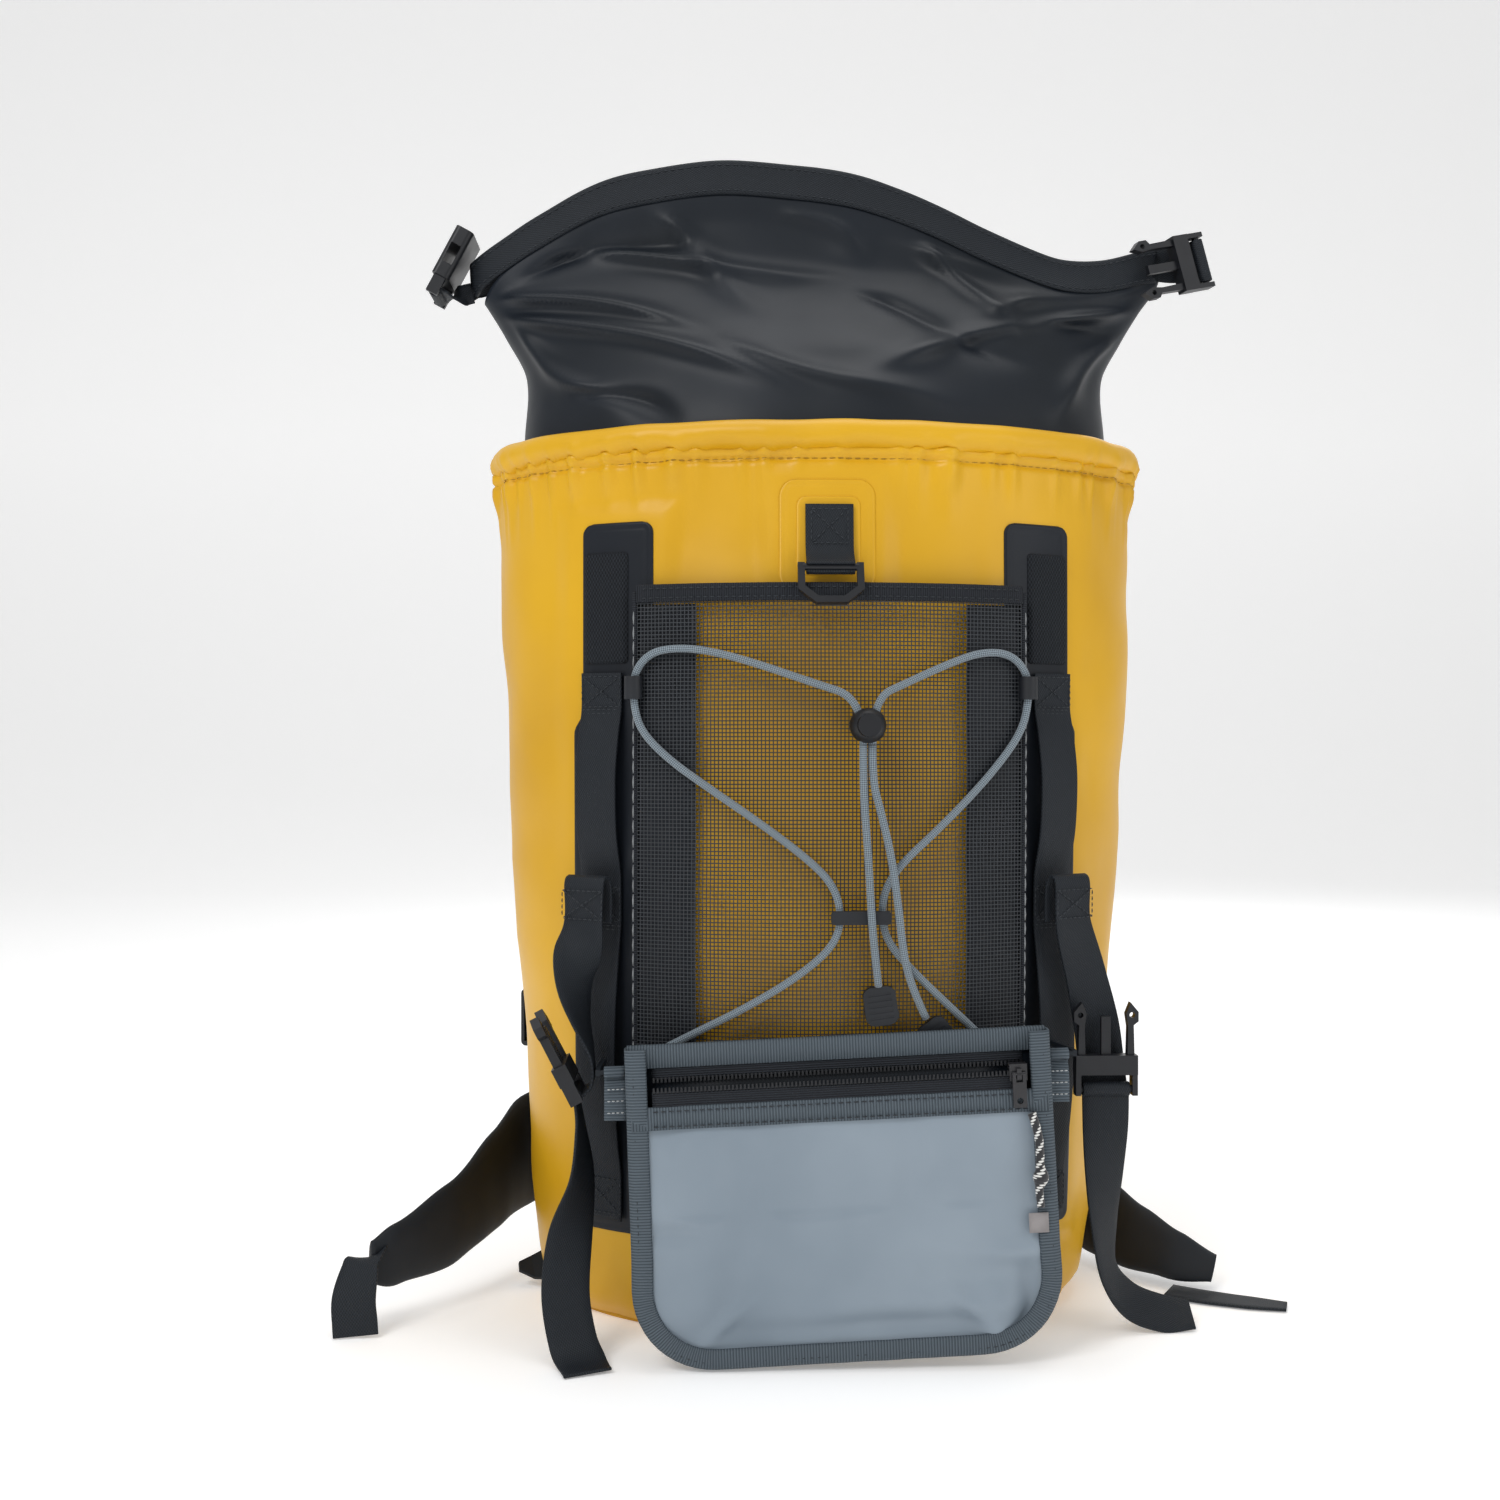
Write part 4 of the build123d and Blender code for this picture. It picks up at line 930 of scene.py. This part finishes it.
def make_pouch():
    rows = []
    for j in range(73):
        z = 6.6 + (133 - 6.6) * (j / 72)
        half = pouch_half(z, 1.2)
        row = []
        for i in range(121):
            x = half * math.sin(math.pi / 2 * (-1 + 2 * i / 120))
            d = min(half - abs(x), z - 6)
            belly = 2.8 * ease(d / 45) * ease((146 - z) / 30)
            low = 1.6 * wave(x, z, 0, 34, 6) * ease((70 - z) / 60) * ease(d / 16)
            fold = 2.2 * bell(x - z * 1.1 + 92, 6) * ease((60 - z) / 40) * ease(d / 20)
            fold += 2.4 * bell(x + z * 0.9 - 88, 6) * ease((64 - z) / 40) * ease(d / 20)
            soft = 1.2 * wave(x, z, 0, 55, 8) * ease(d / 20)
            for px, pz, sx, sz, deep in POUCH_DENTS:
                soft -= 1.5 * deep * bell(x - px, sx) * bell(z - pz, sz) * ease(d / 12)
            # the upper part stays flat, so that the zip pull's knot clears it
            bulge = min(belly + low + fold + soft, 1.1 + 9 * ease((84 - z) / 16))
            row.append(hung(x, POUCH_Y - 8.6 * ease(d / 2.5 + 0.35) - bulge, z))
        rows.append(row)
    panel = place(grid("pouch_front_panel", rows, "grey"), "pouch", "grey_coated", "pouch_front")
    thick = panel.modifiers.new("thickness", "SOLIDIFY")
    thick.thickness = 0.9 * MM
    levels = (168, 150, 120, 90, 60)
    outline = [(-pouch_half(z), z) for z in levels] + corner(-68.5, 180) + [(-40, 5.5), (0, 5.5), (40, 5.5)]
    outline += corner(68.5, 270) + [(pouch_half(z), z) for z in reversed(levels)]
    # wrap of ribbed tape: back flange, edge, front flange
    wrap = [
        (8.5, 0.5), (2, 0.5), (-0.3, -0.5), (-0.5, -4), (-0.3, -8.6), (1.0, -9.6), (2.4, -10.2), (8.6, -10.6),
        (9.2, -9.6),
    ]
    dense = []
    for (x0, z0), (x1, z1) in zip(outline, outline[1:]):
        n = max(1, round(math.hypot(x1 - x0, z1 - z0) / 3))
        dense += [Vector((x0 + (x1 - x0) * k / n, z0 + (z1 - z0) * k / n)) for k in range(n)]
    dense.append(Vector(outline[-1]))
    rows, rib_lines = [], [[], []]
    for k, p in enumerate(dense):
        along = (dense[min(k + 1, len(dense) - 1)] - dense[max(k - 1, 0)]).normalized()
        inward = Vector((-along.y, along.x))
        ripple = 0.25 * wave(p.x, p.y, 0, 14)
        rows.append([hung(p.x + inward.x * i, POUCH_Y + y + ripple, p.y + inward.y * i) for i, y in wrap])
        for line, inset in zip(rib_lines, (3.0, 7.6)):
            line.append((hung(p.x + inward.x * inset, POUCH_Y - 10.5, p.y + inward.y * inset), OUTWARD))
    place(grid("pouch_tape", rows, "greytape", thick=0.8), "pouch", "grey_coated", "pouch_binding")
    stitches("pouch_tape_stitches", rib_lines, "thread", "pouch", size=2.6, gap=1.3, radius=0.33)
    rows = []
    for k in range(74):
        x = -107 + 214 * k / 73
        section = ((157.0, -2.2), (157.4, -3.2), (167.5, -3.4), (168.8, -2.6), (169, 0.3), (158, 0.4))
        rows.append([hung(x, POUCH_Y + y, z) for z, y in section])
    place(bar("pouch_top_tape", rows, "greytape"), "pouch", "grey_coated")
    rows = []
    for k in range(74):
        x = -106 + 212 * k / 73
        sag = 0.3 * wave(x, 0, 0, 30)
        section = ((127, -9.2), (127.4, -11.4), (138, -10.2), (138.8, -9.4), (138, -8.8), (127.6, -8.9))
        rows.append([hung(x, POUCH_Y + y - sag, z) for z, y in section])
    place(bar("pouch_band_tape", rows, "greytape"), "pouch", "grey_coated")
    band_lines = [
        [(hung(x, POUCH_Y + y, z), OUTWARD) for x in range(-96, 98, 4)] for z,
        y in ((129, -11.5), (136.6, -10.7))
    ]
    stitches("pouch_band_stitches", band_lines, "thread", "pouch", size=2.6, gap=1.3, radius=0.33)
    back = [[hung(x, POUCH_Y - 1.2, z) for x in (-100, -50, 0, 50, 100)] for z in (120, 140, 160.8)]
    place(grid("zip_lining", back, "black", thick=0.3), "pouch", "zip_tape")
    for tag, z0, z1, y, teeth_z in (("lower", 138, 146.4, -142.9, 147), ("upper", 151.8, 160.6, -135.9, 151)):
        xs = [-95 + 190 * i / 60 for i in range(61)]
        zs = (z0 - 0.6, z0 + 1, (z0 + z1) / 2, z1)
        rows = [[hung(x, y - 0.4 + 0.3 * wave(x, z, 0, 20), z) for x in xs] for z in zs]
        place(grid(f"zip_tape_{tag}", rows, "binding", thick=0.7), "pouch", "zip_tape", f"zip_{tag}")
        verts, faces = [], []
        for k in range(95):
            x = -94 + 2 * k
            base = len(verts)
            for dz in (-1.3, 1.3):
                for dy in (-1.0, 1.0):
                    for dx in (-0.6, 0.6):
                        verts.append(hung(x + dx * (1 if dz < 0 else 0.75), y + dy, teeth_z + dz))
            for face in ((0, 1, 3, 2), (4, 6, 7, 5), (0, 4, 5, 1), (2, 3, 7, 6), (0, 2, 6, 4), (1, 5, 7, 3)):
                faces.append(tuple(base + i for i in face))
        place(build(f"zip_teeth_{tag}", verts, faces, None, "plastic", False), "pouch", "zip_tape")
    slope = math.atan(0.035)
    for side, x in ((-1, -113.0), (1, 116.0)):
        tag = "left" if side < 0 else "right"
        centre = Vector((0.5 + x * math.cos(slope), -130, 154 + x * math.sin(slope)))
        wide = (math.cos(slope), 0, math.sin(slope))
        cx = -side * 0.6
        spots = [(centre + Vector((cx, y, z)), wide, 11.2, 1.3) for y, z in ((-3.6, -24), (-3.4, -12))]
        loop = strip(
            f"pouch_loop_{tag}", spots + ring_spots(centre, wide, 2.5, 10.4, 200, -60, 9), "greytape",
        )
        place(loop, "pouch", "grey_coated", "pouch_loops")
        rows = []
        for z in (-8, -14, -20):
            line = [(centre + Vector((cx + d * 0.9, -4.4, z + d * 0.03)), OUTWARD) for d in (-5.2, 0, 5.2)]
            rows.append(line)
        stitches(f"pouch_loop_stitches_{tag}", rows, "lightthread", "pouch", size=1.6, gap=0.7, radius=0.35)
    tag_rows = [[hung(x, POUCH_Y - 12.4, z) for x in (93, 97, 103)] for z in (66, 71, 76)]
    place(grid("pouch_side_tag", tag_rows, "tag", thick=0.8), "pouch", "grey_coated")


def ring_spots(centre, wide, r, width, start, sweep, count):
    """Spots round a bar, in the plane across it. Angles in degrees, 0 at the front (-Y) and 90 at the top."""
    wide = Vector(wide).normalized()
    first = (OUTWARD - wide * OUTWARD.dot(wide)).normalized()
    second = first.cross(wide).normalized()
    if second.z < 0:
        second = -second
    turns = [math.radians(start + sweep * k) for k in range(count)]
    return [(centre + first * math.cos(t) * r + second * math.sin(t) * r, wide, width, 1.2) for t in turns]


# ---------------------------------------------------------------- straps
def fold_over(side):
    x = STRAP_X * side
    levels = ((224, 12.2), (240, 12.2), (246.6, 14.0), (248.0, 17.0), (243.5, 19.8), (222, 20.6))
    return [(front(x, z, off), across(x, z), WEB_WIDTH, WEB_THICK) for z, off in levels]


def round_bar(centre, axis, out):
    """Closed wrap of webbing round a buckle's bar."""
    axis, out = Vector(axis).normalized(), Vector(out).normalized()
    side = axis.cross(out)
    ring = [(out * math.cos(t) + side * math.sin(t)) * BAR_RADIUS for t in [TURN * k / 12 for k in range(13)]]
    return [(Vector(centre) + p, axis, WEB_WIDTH, 1.4) for p in ring]


def make_straps():
    left = fold_over(-1) + stations(
        (-134, -112, 198, 0.8, 0.6, 0), (-131, -112, 176, 0.35, 0.93, 0), (-125, -112, 156, 0, 1, 0),
        (-124.5, -112, 142, 0, 1, 0), (-129.9, -112, 136, 0, 1, 0),
    )
    tail = stations(
        (-133, -112, 133, 0, 1, 0), (-131, -112, 118, 0.1, 1, 0), (-130, -114, 92, 0.45, 0.9, 0),
        (-136, -117, 62, 0.9, 0.44, 0), (-138, -121, 34, 1, 0.15, 0), (-134, -127, 12, 1, 0.05, 0),
        (-129, -135, 4.0, 1, 0, 0), (-125, -146, 2.0, 1, 0, 0),
    )
    right = fold_over(1) + stations(
        (138, -99, 195, 0.93, 0.37, 0), (144, -98, 168, 1, 0.1, 0), (146.5, -98.6, 146, 1, 0, 0),
        (147, -102.4, 136, 1, 0, 0),
    )
    right_tail = stations(
        (147, -106, 132.2, 1, 0, 0), (147, -106, 116, 1, 0.1, 0), (147, -104, 90, 0.9, 0.42, 0),
        (148, -100, 62, 0.7, 0.7, 0), (152, -94, 34, 0.5, 0.86, 0.1), (164, -88, 17, 0.4, 0.8, 0.45),
        (182, -84, 8.4, 0.2, 0.8, 0.55), (200, -84, 7.0, 0.1, 0.87, 0.5, 20),
    )
    for name, spots in (
        ("left_strap_fall", left), ("left_strap_tail", tail),
        ("left_strap_bar", round_bar((-133, -112, 136), (0, 1, 0), (-0.46, 0, 0.89))),
        ("right_strap_fall", right), ("right_strap_tail", right_tail),
        ("right_strap_bar", round_bar((147, -106, 135), (1, 0, 0), (0, 0, 1))),
    ):
        place(strip(name, spots, "webbing", 10), "sack", "black_webbing", name.split("_")[0] + "_side_strap")
    rows = []
    for side in (-1, 1):
        x = STRAP_X * side
        for line in box_cross(x - 9.5, x + 9.5, 226, 241):
            rows.append(wall_line(line, 21.6))
    stitches("side_strap_stitches", rows, size=2.4, gap=0.9, radius=0.36)
    mouth_left = stations(
        (-201.0, -2, 582.6, 0.1, 0, 1, 12), (-205.0, -2, 581.6, 0.1, 0, 1, 12),
        (-208.0, -2.8, 580.4, 0.1, 0.5, 0.85, 14), (-211.5, -3.4, 579.4, 0.1, 0.9, 0.3, 19),
        (-215.2, -4, 579.8, 0, 1, 0, 24), (-218.2, -4, 580.9, 0, 1, 0),
    )
    lean = (-0.26, 0, 0.966)
    mouth_right = stations(
        (202.4, -3, 603, -0.1, 0, 1, 20), (212, -2.6, 603.4, -0.2, 0, 1, 22),
        (221, -3.4, 604, *lean, 24.5), (227, -4.6, 604, *lean),
    )
    for name, spots in (
        ("mouth_tab_left", mouth_left),
        ("mouth_bar_left", round_bar((-221, -4, 581), (0, 1, 0), (0.47, 0, 0.88))),
        ("mouth_tab_right", mouth_right),
        ("mouth_bar_right", round_bar((228, -7.6, 604), lean, (-0.94, -0.34, -0.26))),
    ):
        place(strip(name, spots, "webbing"), "roll_top", "black_webbing", "mouth_tabs")


# ---------------------------------------------------------------- back
PAD = [(math.cos(t) * abs(math.cos(t)) ** -0.35 if abs(math.cos(t)) > 1e-6 else 0.0, math.sin(t))
       for t in [TURN * k / 28 for k in range(28)]]


def make_back():
    def quilt(x, z, d):
        seams = min(abs(z - s) for s in (140, 212, 284, 356))
        middle = abs(abs(x) - 26)
        crown = 8.6 * ease(d / 16 + 0.25)
        return crown - 3.4 * bell(seams, 3.5) - 2.2 * bell(middle, 3.5) + 0.3 * wave(x, z, 0, 22)

    pad = relief(
        "back_pad_cloth", 70, 426, lambda z: -92, lambda z: 92, quilt, "pad", 20, 90, 160, 0.3, True, 6,
    )
    pad.data.flip_normals()
    place(pad, "sack", "padding", "back_pad")
    pads = stations(
        (-62, 139, 424, 1, 0.2, 0, 50, 8), (-64, 148, 396, 1, 0.2, 0, 56, 9),
        (-68, 158, 345, 1, 0.2, 0, 60, 10), (-74, 164, 290, 1, 0.25, 0, 60, 10),
        (-84, 162, 235, 1, 0.3, 0, 56, 10), (-97, 152, 185, 1, 0.4, 0.1, 46, 9),
        (-106, 143, 158, 1, 0.5, 0.1, 34, 8),
    )
    wing = stations(
        (-104, 106, 70, 0, 0.05, 1, 64, 8), (-126, 97, 71, 0, 0.05, 1, 70, 10),
        (-152, 72, 72, 0, 0, 1, 70, 11), (-174, 38, 71, 0, 0, 1, 68, 11),
        (-188, 4, 62, 0.1, 0, 1, 62, 11), (-208, -32, 47, 0.2, 0, 1, 52, 10),
        (-234, -60, 38, 0.3, 0, 1, 38, 9), (-247, -70, 36, 0.4, 0, 1, 26, 7),
    )
    right_wing = stations(
        (104, 106, 66, 0, 0.05, 1, 62, 8), (126, 97, 60, 0, 0.05, 1, 64, 10),
        (152, 72, 46, 0.1, 0.05, 1, 58, 10), (174, 38, 31, 0.3, 0.1, 0.94, 46, 10),
        (190, 8, 24, 0.5, 0.2, 0.84, 38, 9), (210, -12, 18, 0.6, 0.4, 0.7, 30, 8),
        (232, -20, 12, 0.5, 0.7, 0.5, 20, 6),
    )
    for side, tag in ((-1, "left"), (1, "right")):
        mirror = lambda rows: [((-side * c[0], *c[1:]), (-side * w[0], *w[1:]), a, t) for c, w, a, t in rows]
        body = f"{tag}_strap"
        shoulder = strip(f"{tag}_shoulder_pad", mirror(pads), "pad", 10, PAD, 0.12, 0.5)
        place(shoulder, body, "padding", f"{tag}_shoulder_strap")
        web = stations(
            (-112.3, 134.2, 134.4, 1, 0.5, 0), (-117.5, 118, 124, 1, 0.55, 0),
            (-121, 101, 116, 1, 0.6, 0), (-122, 87.6, 112.6, 1, 0.7, 0),
        )
        band = strip(f"{tag}_shoulder_web", mirror(web), "webbing")
        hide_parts(f"{tag}_shoulder_webbing")
        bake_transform(band)
        rows = wing if side < 0 else right_wing
        pad = strip(f"{tag}_hip_pad", rows, "pad", 10, PAD, 0.12, 0.8)
        place(pad, f"{tag}_wing", "padding", f"{tag}_hip_wing")
    left_end = stations(
        (-243.5, -66.5, 38.4, 0.6, -0.4, 0.9, 20), (-250.5, -76, 38.6, 1, -0.6, 0, 22),
        (-252, -79, 34, 1, -0.5, 0, 24), (-254, -84, 20, 1, -0.1, 0, 24),
        (-253, -86, 8, 1, 0.05, 0, 24), (-252.5, -86.4, 1.4, 1, 0.05, 0, 24),
    )
    right_end = stations(
        (203, -28, 2.0, 0.4, 0.9, 0, 22), (220, -38, 1.6, 0.5, 0.86, 0, 22),
        (240, -48, 1.6, 0.45, 0.9, 0, 20), (262, -57, 1.6, 0.4, 0.9, 0, 14),
    )
    place(strip("left_wing_web", left_end, "webbing"), "left_wing", "grey_webbing", "left_wing_webbing")
    place(strip("right_wing_web", right_end, "webbing"), "right_wing", "grey_webbing", "right_wing_webbing")
    handle = stations(
        (-26, 136, 429, 1, 0.1, 0, 20, 2.4), (-20, 140, 408, 0.8, 0, 0.5, 22, 3.0),
        (0, 142, 398, 0, 0, 1, 24, 3.4), (20, 140, 408, -0.8, 0, 0.5, 22, 3.0),
        (26, 136, 429, -1, 0.1, 0, 20, 2.4),
    )
    place(strip("haul_handle_web", handle, "webbing", 8), "handle", "black_webbing", "haul_handle")


# ---------------------------------------------------------------- CAD nodes that keep their shape
NODE_LOOKS = {
    "mouth_socket_buckle": "plastic", "mouth_prong_buckle": "plastic", "left_side_buckle": "plastic",
    "right_side_buckle": "plastic", "left_rear_socket": "plastic", "right_rear_socket": "plastic",
    "left_ladder_lock": "plastic", "right_ladder_lock": "plastic", "d_ring": "plastic",
    "cord_lock_ball": "plastic",
    "cord_lock_plunger": "plastic", "cord_lock_spring": "steel", "cord_keepers": "rubber",
    "pull_tab_left": "rubber",
    "pull_tab_right": "rubber", "zip_slider": "metal", "zip_puller": "metal", "pouch_back": "grey",
    "pouch_hooks": "webbing", "strap_anchors": "webbing", "rear_tabs": "webbing", "base_panel": "yellow",
    "base_side_tab": "webbing",
}


def dress_nodes():
    for name, look in NODE_LOOKS.items():
        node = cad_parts[name]
        node.data.materials.clear()
        node.data.materials.append(M[look])
        if look in ("plastic", "rubber", "metal"):
            bevel = node.modifiers.new("edge", "BEVEL")
            bevel.width = (0.35 if look == "metal" else 0.6) * MM
            bevel.segments = 2
            bevel.limit_method = "ANGLE"
            bevel.angle_limit = math.radians(35)


# ---------------------------------------------------------------- studio
def make_studio():
    floor_mesh = bpy.data.meshes.new("studio_floor")
    s = 6.0
    back, turn = 2.6, 1.2
    ground = [(-s, 0.0)] + [(back + turn * math.sin(t), turn - turn * math.cos(t)) for t in
                            [math.pi / 2 * k / 16 for k in range(17)]] + [(back + turn, s)]
    sides = [(x, y, z) for y, z in ground for x in (-s, s)]
    quads = [(2 * k, 2 * k + 1, 2 * k + 3, 2 * k + 2) for k in range(len(ground) - 1)]
    floor_mesh.from_pydata(sides, [], quads)
    for poly in floor_mesh.polygons:
        poly.use_smooth = True
    floor = bpy.data.objects.new("studio_floor", floor_mesh)
    bpy.context.collection.objects.link(floor)
    paper = Paint(
        "studio_paper", (0.97, 0.97, 0.97), 0.9, Specular_IOR_Level=0.0, Emission_Color=(1, 1, 1, 1),
        Emission_Strength=0.22,
    )
    floor_mesh.materials.append(paper.mat)
    for name, spot, aim, power, size in (
        ("key_light", (-1.1, -1.6, 1.9), (0, 0, 0.3), 23, 0.9),
        ("fill_light", (1.7, -1.4, 1.0), (0, 0, 0.3), 8, 1.2),
        ("top_light", (0.1, 0.1, 2.4), (0, 0, 0.2), 15, 1.4),
        ("back_light", (0.6, 2.2, 1.5), (0, 0, 0.3), 10, 1.6),
    ):
        data = bpy.data.lights.new(name, "AREA")
        data.energy = power
        data.size = size
        lamp = bpy.data.objects.new(name, data)
        lamp.location = spot
        lamp.rotation_euler = (Vector(aim) - Vector(spot)).to_track_quat("-Z", "Y").to_euler()
        bpy.context.collection.objects.link(lamp)
    world = bpy.data.worlds.new("studio")
    world.use_nodes = True
    world.node_tree.nodes["Background"].inputs["Color"].default_value = (1, 1, 1, 1)
    world.node_tree.nodes["Background"].inputs["Strength"].default_value = 0.42
    bpy.context.scene.world = world
    bpy.context.scene.view_settings.view_transform = "Standard"


def make_camera():
    data = bpy.data.cameras.new("photo_view")
    data.lens = 40.56
    data.sensor_width = 36
    camera = bpy.data.objects.new("photo_view", data)
    camera.location = (-0.0732, -0.9973, 0.315)
    camera.rotation_euler = (math.radians(90), 0, math.radians(-2.0))
    bpy.context.collection.objects.link(camera)
    bpy.context.scene.camera = camera


make_camera()
make_cords()
make_wall()
make_rim()
make_collar()
make_front()
make_dring()
make_pouch()
make_straps()
make_back()
dress_nodes()
make_studio()
